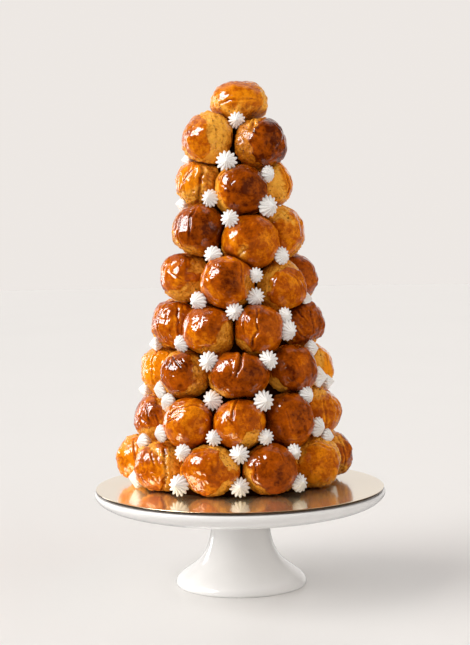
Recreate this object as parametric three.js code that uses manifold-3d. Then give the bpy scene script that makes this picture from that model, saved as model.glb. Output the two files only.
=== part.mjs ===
// Croquembouche: nine rings of choux puffs stuck together into a cone, with piped cream stars in the gaps,
// on a gold cake board that lies on a white footed cake stand.
// Millimetres, +Z up, origin on the table under the middle of the stand's foot. The front looks to -Y.
// Every puff is one solid, and each cream star is fused to the puff that it is piped on.
import * as THREE from 'three';
import { mergeVertices } from 'three/addons/utils/BufferGeometryUtils.js';
import Module from 'manifold-3d';

const wasm = await Module();
wasm.setup();

// ---------------------------------------------------------------- driving dimensions
const CLEARANCE = 0.3;            // gap kept between two touching pieces

const FOOT_RADIUS = 58;
const STEM_RADIUS = 25.5;
const PLATE_RADIUS = 128.5;
const PLATE_TOP = 85;
const FOOT_RECESS_RADIUS = 48;
const FOOT_RECESS_DEPTH = 3;
const STAND_SIDES = 36;

const BOARD_RADIUS = 127;         // a ten inch cake board
const BOARD_THICKNESS = 1.8;
const BOARD_TOP = PLATE_TOP + CLEARANCE + BOARD_THICKNESS;

const CONE_BACK = 26;             // how far the cone stands behind the middle of the board
const CONE_SLOPE = 12;            // degrees that the cone's face leans back from upright

// A plain puff lies on its side: its domed cap looks out and its flat base looks in.
const PUFF_WIDE = 45.5;
const PUFF_TALL = 43.5;
const PUFF_CAP = 21.5;            // from the widest section out to the top of the cap
const PUFF_BASE = 19;             // and in to the flat base
const ROUND_FULLNESS = 2.3;       // 2 is an ellipse, more is squarer
const CAP_FULLNESS = 2.25;
const BASE_FULLNESS = 3.2;
const SIZE_SPREAD = { wide: 0.08, tall: 0.06, cap: 0.1 };    // how far plain puffs differ in size
const TILT_SPREAD = 16;           // and in the way they look, in degrees
const PUFF_LOBES = 5;             // swellings of the crust, spread over the cap
const LOBE_OFF = [25, 75];        // nearest and furthest from the top of the cap, in degrees
const LOBE_SWELL = [0.02, 0.065]; // least and most, of the puff's reach
const LOBE_SPREAD = 0.13;
const CLEFT_DEPTH = 0.13;         // a fold in the rim, of the puff's reach
const CLEFT_SPREAD = 0.05;
const CLEFT_LIFT = 0.25;          // how far the fold lies up the cap
const STRETCH_REACH = 4.5;        // neighbours in a ring nearer than this are drawn out until they touch,
const REST_REACH = 8;             // and so are puffs that rest on each other
const STRETCH_SPREAD = 0.15;
const PUFF_SEGMENTS = 11;
const PUFF_BANDS = 6;

// Cream stars
const STAR_RIDGES = 8;
const STAR_SIZE = 7.6;            // radius over the ridges
const STAR_VALLEY = 0.74;         // radius between the ridges, of that
const STAR_TIP = 0.9;             // height of the tip over the widest section, of that
const STAR_OVERLAP = 3;           // how far a star spreads over the puffs round its gap
const STAR_SUNK = 3;              // least and most distance of a star out from the shell that the
const STAR_PROUD = 14;            //   puffs' middles lie on
const STAR_BITE = 2.6;            // depth of a star's back point inside its puff
const STAR_LEAST_AIR = 2.4;       // a gap narrower than this gets no star
const STAR_APART = 22;            // nor does one nearer than this to another star
const STAR_GAP = 0.5;             // air between a star and the pieces it isn't fused to
const STAR_NOTCH = 15;            // first guess of a gap's place above or below two puffs' middles
const STAR_FIRST_STEP = 3;        // and the longest and shortest step from there to where it is widest
const STAR_LAST_STEP = 0.3;
const STAR_RISE = 0.5;            // step by which a star is moved out of its gap
const STAR_PULL = 0.05;           // share by which a star's points are pulled in to clear a piece
const STAR_ON_BOARD = 8.6;        // height over the board of the middle of a star that lies on it
const FRONT_HALF = 98;            // degrees to each side that the list of front stars covers
const NEAR = 60;                  // puffs whose middles are further than this don't touch a star

const evenly = (count, first) => Array.from({ length: count }, (_, i) => first + i * 360 / count);

// The rings from the board up: radius of the circle of the puffs' middles, its height over the board, its
// shift to the right, and the puffs' places round it in degrees, 0 in front and growing to the right.
const RINGS = [
  { radius: 83, height: 22, shift: -3.5, places: evenly(10, -87) },
  { radius: 73, height: 60.5, shift: -1, places: evenly(10, -71) },
  { radius: 65, height: 101, shift: -1, places: evenly(8, -88.5) },
  { radius: 56, height: 140.5, shift: 0.5, places: [-76, -27, 18, 73, 123, 177, 241] },
  { radius: 48, height: 180.5, shift: 0.5, places: [-71, -11, 53, 105, 163, 222] },
  { radius: 38.5, height: 221, shift: 1, places: [-55, 17, 76, 148, 234] },
  { radius: 31, height: 263, shift: -1.5, places: [-80, 11, 85, 180] },
  { radius: 24, height: 303, shift: -1, places: [-62, 54, 176] },
];
const TOP_PUFF = { wide: 52, tall: 49, cap: 20, base: 16.5, height: 337.5, shift: 4.2 };

// Puffs that differ from a plain one: out and up move a puff, wide, tall and cap size it, and a cleft is a
// fold in its rim at that clock angle in degrees from straight up.
const ODD_PUFFS = {
  puff_1_1: { out: 3, up: 1 },
  puff_1_2: { wide: 44, tall: 44 },
  puff_1_3: { wide: 49, tall: 43 },
  puff_1_4: { wide: 47, tall: 43.5 },
  puff_1_5: { wide: 45, tall: 45 },
  puff_1_7: { out: -2 },
  puff_1_8: { out: -4 },
  puff_1_9: { out: -3 },
  puff_2_1: { wide: 44, tall: 43 },
  puff_2_2: { wide: 43, tall: 44 },
  puff_2_3: { wide: 44.5, tall: 42 },
  puff_2_4: { wide: 43, tall: 47.5, up: 1 },
  puff_2_5: { wide: 44, tall: 43, up: 3 },
  puff_3_2: { wide: 44.5, tall: 42 },
  puff_3_3: { wide: 52.5, tall: 41, cleft: 8 },
  puff_3_4: { wide: 44.5, tall: 43.5, up: 3 },
  puff_4_1: { wide: 44, tall: 43, up: 2 },
  puff_4_2: { wide: 47.5, tall: 43, up: -1.5 },
  puff_4_3: { wide: 43.5, tall: 43.5, up: -1 },
  puff_4_4: { wide: 46, tall: 42, up: 1.5 },
  puff_4_7: { out: 4, up: 3 },
  puff_5_1: { up: 4 },
  puff_5_2: { wide: 45, tall: 46, out: 1 },
  puff_5_3: { wide: 45, tall: 43, up: -5.5 },
  puff_5_4: { out: 3, up: 0.5 },
  puff_6_1: { wide: 49, tall: 44.5, out: 4, up: 4 },
  puff_6_2: { wide: 50.5, tall: 47, up: -5.5 },
  puff_6_3: { wide: 46, tall: 46, out: 1, up: 3 },
  puff_7_1: { wide: 45, tall: 42, up: 3.5 },
  puff_7_2: { wide: 45.5, tall: 44.5, up: -2.5 },
  puff_7_3: { wide: 44, tall: 43, up: 2 },
  puff_7_4: { up: -3 },
  puff_8_1: { wide: 51, tall: 46, up: 3, out: 2 },
  puff_8_2: { wide: 49, tall: 45, out: 5, up: -1.5 },
};

// The stars of the front half, from the board up: [place in degrees, height over the board, size].
const FRONT_STARS = [
  [-66, STAR_ON_BOARD, 9], [-28, STAR_ON_BOARD, 8.8], [2.5, STAR_ON_BOARD, 8.2], [33, STAR_ON_BOARD, 7.8],
  [74, STAR_ON_BOARD, 7],
  [-62, 39, 7.6], [-29, 35, 7.4], [1.5, 35, 8.2], [31.5, 34, 7.2], [60, 42, 7],
  [-47, 49, 7.4], [-13, 48.5, 6.8], [16, 48.5, 6.7], [51.5, 52, 8.3],
  [-88, 81, 7], [-55, 85.5, 7.4], [-46, 75.5, 7.8], [-17, 80.5, 8.6], [15.5, 78.5, 8.7], [46, 80, 8],
  [63, 93.5, 8.8], [80, 87, 7],
  [-80, 122.5, 7], [-42, 125.5, 7.5], [-18.5, 111.5, 8.5], [20, 112, 8.3], [60, 118.5, 7.2],
  [-31.5, 162, 8.2], [-2.5, 154, 7.5], [36.5, 149, 6.8], [37.5, 136, 8.6], [67, 161, 6.4],
  [-21.5, 201, 8.2], [15.5, 184.5, 6.4], [15, 166.5, 7.8], [42.5, 200, 7.6],
  [-79, 246, 7], [-30.5, 251.5, 7.6], [-6.5, 232.5, 7.5], [36, 243, 9.2],
  [-86, 285, 6.6], [-8.5, 282, 8.8], [44, 271, 7.2], [1, 319, 7.2],
];

// ---------------------------------------------------------------- small helpers
const UP = new THREE.Vector3(0, 0, 1);
const radians = THREE.MathUtils.degToRad;

/** A repeatable draw between 0 and 1 for puff number `index` and purpose number `use`. */
function draw(index, use) {
  const wave = Math.sin(index * 12.9898 + use * 78.233) * 43758.5453;
  return wave - Math.floor(wave);
}

/** The direction that looks out of the cone at `place` degrees, raised by `lift` degrees. */
function outward(place, lift) {
  const turn = radians(place);
  const rise = radians(lift);
  return new THREE.Vector3(Math.sin(turn) * Math.cos(rise), -Math.cos(turn) * Math.cos(rise), Math.sin(rise));
}

/** A point on the cone's shell: on a circle of `radius` whose middle is shifted to the right. */
function onShell(place, radius, shift, z) {
  const turn = radians(place);
  return new THREE.Vector3(shift + radius * Math.sin(turn), CONE_BACK - radius * Math.cos(turn), z);
}

/** Radius and shift of the shell at height z, by straight lines between the rings. */
function shellAt(z) {
  const levels = [...RINGS, { radius: 0, height: TOP_PUFF.height, shift: TOP_PUFF.shift }];
  const height = z - BOARD_TOP;
  let upper = levels.findIndex((level) => level.height > height);
  upper = THREE.MathUtils.clamp(upper < 0 ? levels.length - 1 : upper, 1, levels.length - 1);
  const low = levels[upper - 1];
  const high = levels[upper];
  const part = (height - low.height) / (high.height - low.height);
  return {
    radius: THREE.MathUtils.lerp(low.radius, high.radius, part),
    shift: THREE.MathUtils.lerp(low.shift, high.shift, part),
  };
}

// ---------------------------------------------------------------- puffs
/** One puff: its middle, its three own directions, its sizes and the lobes of its crust. */
function makePuff(name, ring, index, middle, out, sizes) {
  const across = Math.abs(out.z) > 0.9 ? new THREE.Vector3(1, 0, 0) : UP.clone().cross(out).normalize();
  const rise = out.clone().cross(across).normalize();
  const lobes = Array.from({ length: PUFF_LOBES }, (_, lobe) => {
    const off = radians(THREE.MathUtils.lerp(...LOBE_OFF, draw(index, lobe + 10)));
    const round = radians((lobe + draw(index, lobe + 20)) * 360 / PUFF_LOBES);
    const toward = out.clone().multiplyScalar(Math.cos(off))
      .addScaledVector(across, Math.sin(off) * Math.cos(round))
      .addScaledVector(rise, Math.sin(off) * Math.sin(round));
    return { toward, swell: THREE.MathUtils.lerp(...LOBE_SWELL, draw(index, lobe + 30)) };
  });
  return { name, ring, index, middle, out, across, rise, lobes, touches: [], ...sizes };
}

/** Distance from a puff's middle to its surface, before its neighbours press on it. */
function freeReach(puff, toward) {
  const side = Math.abs(toward.dot(puff.across)) / (puff.wide / 2);
  const height = Math.abs(toward.dot(puff.rise)) / (puff.tall / 2);
  const along = toward.dot(puff.out);
  const depth = Math.abs(along) / (along > 0 ? puff.cap : puff.base);
  const fullness = along > 0 ? CAP_FULLNESS : BASE_FULLNESS;
  const rim = (side ** ROUND_FULLNESS + height ** ROUND_FULLNESS) ** (1 / ROUND_FULLNESS);
  let reach = (rim ** fullness + depth ** fullness) ** (-1 / fullness);
  let swell = -LOBE_SWELL[0];
  for (const lobe of puff.lobes) swell += lobe.swell * Math.exp((toward.dot(lobe.toward) - 1) / LOBE_SPREAD);
  if (puff.cleft !== undefined) {
    const clock = radians(puff.cleft);
    const fold = puff.rise.clone().multiplyScalar(Math.cos(clock))
      .addScaledVector(puff.across, Math.sin(clock)).addScaledVector(puff.out, CLEFT_LIFT).normalize();
    swell -= CLEFT_DEPTH * Math.exp((toward.dot(fold) - 1) / CLEFT_SPREAD);
  }
  reach *= 1 + swell;
  return reach;
}

/** Distance to the surface once the puff is drawn out to, and pressed flat on, what it touches. */
function pressedReach(puff, toward) {
  let reach = freeReach(puff, toward);
  for (const touch of puff.touches) {
    reach += touch.stretch * Math.exp((toward.dot(touch.toward) - 1) / STRETCH_SPREAD);
  }
  for (const touch of puff.touches) {
    const lean = toward.dot(touch.toward);
    if (lean > 0) reach = Math.min(reach, touch.limit / lean);
  }
  return reach;
}

/** Shares the space between two near puffs with a flat wall that each stays behind. */
function meet(first, second) {
  const span = second.middle.clone().sub(first.middle);
  const distance = span.length();
  const toward = span.divideScalar(distance);
  const back = toward.clone().negate();
  const reaches = [freeReach(first, toward), freeReach(second, back)];
  const gap = distance - reaches[0] - reaches[1];
  const reachable = first.ring === second.ring ? STRETCH_REACH : REST_REACH;
  if (gap > REST_REACH) return;
  const pairs = [[first, toward, reaches[0]], [second, back, reaches[1]]];
  for (const [puff, way, reach] of pairs) {
    const limit = distance * reach / (reaches[0] + reaches[1]) - CLEARANCE / 2;
    const stretch = gap < reachable ? Math.max(0, limit - reach) : 0;
    puff.touches.push({ toward: way, limit, stretch });
  }
}

/** The bottom ring is pressed flat on the board. */
function standOnBoard(puff) {
  const down = UP.clone().negate();
  const limit = puff.middle.z - BOARD_TOP - CLEARANCE;
  puff.touches.push({ toward: down, limit, stretch: Math.max(0, limit - freeReach(puff, down)) });
}

function arrangePuffs() {
  const puffs = [];
  RINGS.forEach((ring, r) => ring.places.forEach((place, i) => {
    const index = puffs.length;
    const name = `puff_${r + 1}_${i + 1}`;
    const own = {
      wide: PUFF_WIDE * (1 + SIZE_SPREAD.wide * (draw(index, 1) - 0.5)),
      tall: PUFF_TALL * (1 + SIZE_SPREAD.tall * (draw(index, 2) - 0.5)),
      cap: PUFF_CAP * (1 + SIZE_SPREAD.cap * (draw(index, 3) - 0.5)),
      base: PUFF_BASE,
      out: 0,
      up: 0,
      ...ODD_PUFFS[name],
    };
    const middle = onShell(place, ring.radius + own.out, ring.shift, BOARD_TOP + ring.height + own.up);
    const turned = place + TILT_SPREAD * (draw(index, 4) - 0.5);
    const out = outward(turned, CONE_SLOPE + TILT_SPREAD * (draw(index, 5) - 0.5));
    puffs.push(makePuff(name, r, index, middle, out, { ...own, out }));
  }));
  const top = new THREE.Vector3(TOP_PUFF.shift, CONE_BACK, BOARD_TOP + TOP_PUFF.height);
  puffs.push(makePuff('puff_top', RINGS.length, puffs.length, top, UP.clone(), { ...TOP_PUFF }));
  puffs.forEach((first, i) => puffs.slice(i + 1).forEach((second) => meet(first, second)));
  puffs.filter((puff) => puff.ring === 0).forEach(standOnBoard);
  return puffs;
}

/** A puff's surface as a closed net: a pole, rings of points at its pressed reach, and a pole. */
function puffNet(puff) {
  const points = [];
  const faces = [];
  const place = (polar, round) => {
    const toward = puff.out.clone().multiplyScalar(Math.cos(polar))
      .addScaledVector(puff.across, Math.sin(polar) * Math.cos(round))
      .addScaledVector(puff.rise, Math.sin(polar) * Math.sin(round));
    points.push(puff.middle.clone().addScaledVector(toward, pressedReach(puff, toward)));
  };
  place(0, 0);
  for (let band = 1; band < PUFF_BANDS; band += 1) {
    for (let s = 0; s < PUFF_SEGMENTS; s += 1) {
      place(Math.PI * band / PUFF_BANDS, 2 * Math.PI * (s + band / 2) / PUFF_SEGMENTS);
    }
  }
  place(Math.PI, 0);
  const last = points.length - 1;
  const at = (band, s) => 1 + (band - 1) * PUFF_SEGMENTS + (s % PUFF_SEGMENTS);
  for (let s = 0; s < PUFF_SEGMENTS; s += 1) {
    faces.push([0, at(1, s), at(1, s + 1)]);
    for (let band = 1; band < PUFF_BANDS - 1; band += 1) {
      faces.push([at(band, s), at(band + 1, s), at(band, s + 1)]);
      faces.push([at(band, s + 1), at(band + 1, s), at(band + 1, s + 1)]);
    }
    faces.push([at(PUFF_BANDS - 1, s), last, at(PUFF_BANDS - 1, s + 1)]);
  }
  return { points, faces };
}

// ---------------------------------------------------------------- cream stars
/** Air between a puff and a point. */
function airTo(puff, point) {
  const span = point.clone().sub(puff.middle);
  const distance = span.length();
  return distance - pressedReach(puff, span.divideScalar(distance));
}

/** Air between a point and the nearest puff. */
function airAt(point, puffs) {
  const near = puffs.filter((puff) => puff.middle.distanceTo(point) < NEAR);
  return Math.min(...near.map((puff) => airTo(puff, point)));
}

/** Where a star sits: `proud` out from the shell at a place and height. */
function starPoint(place, z, proud) {
  const shell = shellAt(z);
  return onShell(place, shell.radius, shell.shift, z).addScaledVector(outward(place, CONE_SLOPE), proud);
}

/** Moves a star round and up or down, in ever smaller steps, to where its gap is widest. */
function settleInGap(start, puffs) {
  const proud = (STAR_SUNK + STAR_PROUD) / 2;
  let { place, z } = start;
  let air = airAt(starPoint(place, z, proud), puffs);
  for (let step = STAR_FIRST_STEP; step > STAR_LAST_STEP;) {
    const turn = THREE.MathUtils.radToDeg(step / shellAt(z).radius);
    const tries = [[place + turn, z], [place - turn, z]];
    if (!start.onBoard) tries.push([place, z + step], [place, z - step]);
    const better = tries.map(([p, h]) => [p, h, airAt(starPoint(p, h, proud), puffs)])
      .reduce((best, found) => (found[2] > best[2] + 1e-6 ? found : best), [place, z, air]);
    if (better[2] > air) [place, z, air] = better;
    else step /= 2;
  }
  return { ...start, place, z };
}

/** Moves a star out of its gap until it spreads just over the puffs round it. */
function raiseStar(star, puffs) {
  let proud = STAR_SUNK;
  let air = airAt(starPoint(star.place, star.z, proud), puffs);
  while (air < star.size - STAR_OVERLAP && proud < STAR_PROUD) {
    proud += STAR_RISE;
    air = airAt(starPoint(star.place, star.z, proud), puffs);
  }
  return { ...star, air, middle: starPoint(star.place, star.z, proud) };
}

/** The gaps above and below every two neighbours in a ring, where the back half has its stars. */
function backGaps(puffs) {
  const gaps = [];
  RINGS.forEach((ring, r) => {
    const row = puffs.filter((puff) => puff.ring === r);
    ring.places.forEach((place, i) => {
      const next = i + 1 < ring.places.length ? ring.places[i + 1] : ring.places[0] + 360;
      const between = (row[i].middle.z + row[(i + 1) % row.length].middle.z) / 2;
      for (const side of [-1, 1]) {
        const onBoard = r === 0 && side < 0;
        const z = onBoard ? BOARD_TOP + STAR_ON_BOARD : between + side * STAR_NOTCH;
        gaps.push(settleInGap({ place: (place + next) / 2, z, onBoard, size: STAR_SIZE }, puffs));
      }
    });
  });
  return gaps.filter((gap) => gap.place > FRONT_HALF && gap.place < 360 - FRONT_HALF);
}

function arrangeStars(puffs) {
  const stars = FRONT_STARS.map(([place, height, size]) => raiseStar({
    place, z: BOARD_TOP + height, size, onBoard: height === STAR_ON_BOARD,
  }, puffs));
  for (const gap of backGaps(puffs)) {
    const star = raiseStar(gap, puffs);
    const blocked = star.air < STAR_LEAST_AIR;
    const doubled = stars.some((other) => other.middle.distanceTo(star.middle) < STAR_APART);
    if (!blocked && !doubled) stars.push(star);
  }
  return stars;
}

/** Pulls a point in towards `middle` until it is clear of every piece but the host. */
function pullClear(point, middle, obstacles) {
  const span = point.clone().sub(middle);
  for (let part = 1; part > STAR_PULL; part -= STAR_PULL) {
    const tried = middle.clone().addScaledVector(span, part);
    if (obstacles.every((clear) => clear(tried))) return tried;
  }
  return middle.clone().addScaledVector(span, STAR_PULL);
}

/** A piped star: a ribbed cone that looks out of the gap, with its back point inside the host puff. */
function starNet(star, host, obstacles) {
  const out = outward(star.place, star.onBoard ? 20 : CONE_SLOPE);
  const across = UP.clone().cross(out).normalize();
  const rise = out.clone().cross(across).normalize();
  const points = [];
  const faces = [];
  const sides = 2 * STAR_RIDGES;
  for (let s = 0; s < sides; s += 1) {
    const round = 2 * Math.PI * s / sides;
    const radius = star.size * (s % 2 ? STAR_VALLEY : 1);
    const point = star.middle.clone()
      .addScaledVector(across, radius * Math.cos(round)).addScaledVector(rise, radius * Math.sin(round));
    points.push(pullClear(point, star.middle, obstacles));
  }
  const tip = star.middle.clone().addScaledVector(out, STAR_TIP * star.size);
  const inward = host.middle.clone().sub(star.middle).normalize();
  const depth = host.middle.distanceTo(star.middle) - pressedReach(host, inward.clone().negate()) + STAR_BITE;
  points.push(pullClear(tip, star.middle, obstacles), star.middle.clone().addScaledVector(inward, depth));
  for (let s = 0; s < sides; s += 1) {
    const next = (s + 1) % sides;
    faces.push([s, next, sides], [next, s, sides + 1]);
  }
  return { points, faces };
}

// ---------------------------------------------------------------- solids
function netSolid({ points, faces }) {
  return new wasm.Manifold(new wasm.Mesh({
    numProp: 3,
    vertProperties: Float32Array.from(points.flatMap((point) => point.toArray())),
    triVerts: Uint32Array.from(faces.flat()),
  }));
}

function solidGeometry(solid) {
  const mesh = solid.getMesh();
  const geometry = new THREE.BufferGeometry();
  geometry.setAttribute('position', new THREE.BufferAttribute(mesh.vertProperties, 3));
  geometry.setIndex(new THREE.BufferAttribute(mesh.triVerts, 1));
  return geometry;
}

/** Every puff with the stars that are piped on it, each star clear of all other pieces. */
function makeTower() {
  const puffs = arrangePuffs();
  const stars = arrangeStars(puffs);
  const solids = new Map(puffs.map((puff) => [puff, netSolid(puffNet(puff))]));
  for (const star of stars) {
    const near = puffs.filter((puff) => puff.middle.distanceTo(star.middle) < NEAR);
    const airs = near.map((puff) => airTo(puff, star.middle));
    const host = near[airs.indexOf(Math.min(...airs))];
    const others = near.filter((puff) => puff !== host);
    const obstacles = others.map((puff) => (point) => airTo(puff, point) > STAR_GAP);
    obstacles.push((point) => point.z > BOARD_TOP + CLEARANCE && Math.hypot(point.x, point.y) < BOARD_RADIUS);
    for (const other of stars) {
      const span = other.middle.clone().sub(star.middle);
      const distance = span.length();
      if (other === star || distance > star.size + other.size + STAR_GAP) continue;
      const half = distance * star.size / (star.size + other.size) - STAR_GAP / 2;
      obstacles.push((point) => point.clone().sub(star.middle).dot(span) / distance < half);
    }
    solids.set(host, solids.get(host).add(netSolid(starNet(star, host, obstacles))));
  }
  return solids;
}

// ---------------------------------------------------------------- stand and board
/** The footed stand, turned round its axis: foot, waisted stem, wide plate with a rolled rim. */
function standGeometry() {
  const outline = new THREE.Path();
  outline.moveTo(0, FOOT_RECESS_DEPTH);
  outline.lineTo(FOOT_RECESS_RADIUS - 1, FOOT_RECESS_DEPTH);
  outline.lineTo(FOOT_RECESS_RADIUS, 0);
  outline.lineTo(FOOT_RADIUS - 1.5, 0);
  outline.quadraticCurveTo(FOOT_RADIUS, 0, FOOT_RADIUS, 2);
  outline.lineTo(FOOT_RADIUS - 3.5, 8);
  outline.bezierCurveTo(47, 15.5, STEM_RADIUS + 3.5, 20, STEM_RADIUS + 0.8, 48);
  outline.lineTo(STEM_RADIUS, 62);
  outline.quadraticCurveTo(STEM_RADIUS + 1, 67, STEM_RADIUS + 14, 67.5);
  outline.lineTo(105, 69);
  outline.lineTo(107.5, 70.5);
  outline.quadraticCurveTo(122, 72, PLATE_RADIUS - 0.8, 80);
  outline.quadraticCurveTo(PLATE_RADIUS + 0.4, 83, PLATE_RADIUS - 1.5, 84.2);
  outline.lineTo(PLATE_RADIUS - 5, PLATE_TOP);
  outline.lineTo(0, PLATE_TOP);
  return lathe(outline.getPoints(3), STAND_SIDES);
}

function boardGeometry() {
  const low = PLATE_TOP + CLEARANCE;
  const outline = [[0, low], [BOARD_RADIUS - 0.4, low], [BOARD_RADIUS, low + 0.5], [BOARD_RADIUS, BOARD_TOP],
    [0, BOARD_TOP]];
  return lathe(outline.map(([x, y]) => new THREE.Vector2(x, y)), STAND_SIDES);
}

/** A closed body turned round the Z axis from a half outline. */
function lathe(outline, sides) {
  const geometry = new THREE.LatheGeometry(outline, sides);
  geometry.deleteAttribute('normal');
  geometry.deleteAttribute('uv');
  geometry.rotateX(Math.PI / 2);
  return dropFlatFaces(mergeVertices(geometry, 1e-4));
}

/** LatheGeometry leaves a face with two equal corners at each point on the axis: these are dropped. */
function dropFlatFaces(geometry) {
  const old = geometry.getIndex().array;
  const kept = [];
  for (let i = 0; i < old.length; i += 3) {
    const [a, b, c] = [old[i], old[i + 1], old[i + 2]];
    if (a !== b && b !== c && c !== a) kept.push(a, b, c);
  }
  geometry.setIndex(kept);
  return geometry;
}

// ---------------------------------------------------------------- the whole
const finish = (name, color, roughness, metalness) =>
  new THREE.MeshStandardMaterial({ name, color, roughness, metalness });
const choux = finish('choux', 0xc07a2c, 0.35, 0);
const goldFoil = finish('gold_foil', 0xd9c08a, 0.2, 1);
const whiteGlaze = finish('white_glaze', 0xf4f2ee, 0.15, 0);

const group = new THREE.Group();

function addPiece(name, geometry, material) {
  const piece = new THREE.Mesh(geometry, material);
  piece.name = name;
  group.add(piece);
}

addPiece('cake_stand', standGeometry(), whiteGlaze);
addPiece('cake_board', boardGeometry(), goldFoil);
const tower = makeTower();
tower.forEach((solid, puff) => addPiece(puff.name, solidGeometry(solid), choux.clone()));

export default group;
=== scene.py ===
"""Croquembouche: glazed choux puffs and piped cream stars on a gold board and a white footed stand.

The puffs and stars are placed by the rules that shaped the solids of the frame, so each fine piece lies
where its solid is. Sizes in the tables and in the shaping functions are millimetres, meshes are metres.
"""

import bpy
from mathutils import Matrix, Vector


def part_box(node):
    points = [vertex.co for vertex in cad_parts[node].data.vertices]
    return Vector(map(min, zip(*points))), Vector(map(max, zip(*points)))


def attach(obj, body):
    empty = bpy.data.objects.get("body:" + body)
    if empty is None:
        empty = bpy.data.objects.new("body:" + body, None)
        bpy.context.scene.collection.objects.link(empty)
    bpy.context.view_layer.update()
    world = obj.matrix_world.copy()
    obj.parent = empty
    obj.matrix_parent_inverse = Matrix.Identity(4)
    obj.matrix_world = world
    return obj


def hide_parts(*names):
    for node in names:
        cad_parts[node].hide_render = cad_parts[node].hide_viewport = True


bl_info = {
    "name": "Croquembouche",
    "version": (1, 0, 0),
    "blender": (4, 5, 0),
    "location": "View3D > Sidebar > Croquembouche",
    "description": "Dresses a croquembouche in glazed choux, piped cream, gold foil and white glaze",
    "category": "Add Mesh",
}

import itertools
import math

import bpy
import numpy as np
from bpy.props import FloatProperty, FloatVectorProperty, IntProperty, PointerProperty
from bpy.types import Operator, Panel, PropertyGroup
from mathutils import Vector

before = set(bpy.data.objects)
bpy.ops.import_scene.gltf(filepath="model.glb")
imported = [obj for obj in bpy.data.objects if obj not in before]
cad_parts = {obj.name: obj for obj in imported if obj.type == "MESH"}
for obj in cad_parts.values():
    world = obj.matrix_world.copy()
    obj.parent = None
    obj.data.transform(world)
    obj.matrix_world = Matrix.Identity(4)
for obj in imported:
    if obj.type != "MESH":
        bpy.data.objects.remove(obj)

MM = 0.001
BODY = "root"

# ---------------------------------------------------------------- what the solids are made by
CLEARANCE = 0.3
PLATE_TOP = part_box("cake_stand")[1].z / MM
BOARD_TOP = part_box("cake_board")[1].z / MM
BOARD_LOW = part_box("cake_board")[0].z / MM
BOARD_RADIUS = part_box("cake_board")[1].x / MM
FOOT_RADIUS = 58
FOOT_RECESS_RADIUS = 48
FOOT_RECESS_DEPTH = 3
STEM_RADIUS = 25.5
PLATE_RADIUS = 128.4

CONE_BACK = 26
CONE_SLOPE = 12
ROUND_FULLNESS = 2.3
CAP_FULLNESS = 2.25
BASE_FULLNESS = 3.2
PLAIN = {"wide": 45.5, "tall": 43.5, "cap": 21.5, "base": 19, "out": 0, "up": 0}
SIZE_SPREAD = {"wide": 0.08, "tall": 0.06, "cap": 0.1}
TILT_SPREAD = 16
PUFF_LOBES = 5
LOBE_OFF = (25, 75)
LOBE_SWELL = (0.02, 0.065)
LOBE_SPREAD = 0.13
CLEFT_DEPTH = 0.13
CLEFT_SPREAD = 0.05
CLEFT_LIFT = 0.25
STRETCH_REACH = 4.5
REST_REACH = 8
STRETCH_SPREAD = 0.15
WALL_LEAST_LEAN = 0.05
NO_WALL = 1e3

STAR_SIZE = 7.6
STAR_OVERLAP = 3
STAR_SUNK = 3
STAR_PROUD = 14
STAR_LEAST_AIR = 2.4
STAR_APART = 22
STAR_NOTCH = 15
STAR_FIRST_STEP = 3
STAR_LAST_STEP = 0.3
STAR_LEAST_GAIN = 1e-6
STAR_RISE = 0.5
STAR_ON_BOARD = 8.6
FRONT_HALF = 98
NEAR = 60

UP = np.array((0.0, 0.0, 1.0))


def evenly(count, first):
    """Places in degrees of `count` things spread evenly round a ring."""
    return [first + i * 360 / count for i in range(count)]


# Rings of puffs from the board up: radius of the circle of their middles, its height over the board, its
# shift to the right, and the puffs' places in degrees, 0 in front and growing to the right.
RINGS = (
    (83, 22, -3.5, evenly(10, -87)),
    (73, 60.5, -1, evenly(10, -71)),
    (65, 101, -1, evenly(8, -88.5)),
    (56, 140.5, 0.5, (-76, -27, 18, 73, 123, 177, 241)),
    (48, 180.5, 0.5, (-71, -11, 53, 105, 163, 222)),
    (38.5, 221, 1, (-55, 17, 76, 148, 234)),
    (31, 263, -1.5, (-80, 11, 85, 180)),
    (24, 303, -1, (-62, 54, 176)),
)
TOP_HEIGHT = 337.5
TOP_SHIFT = 4.2

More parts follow.
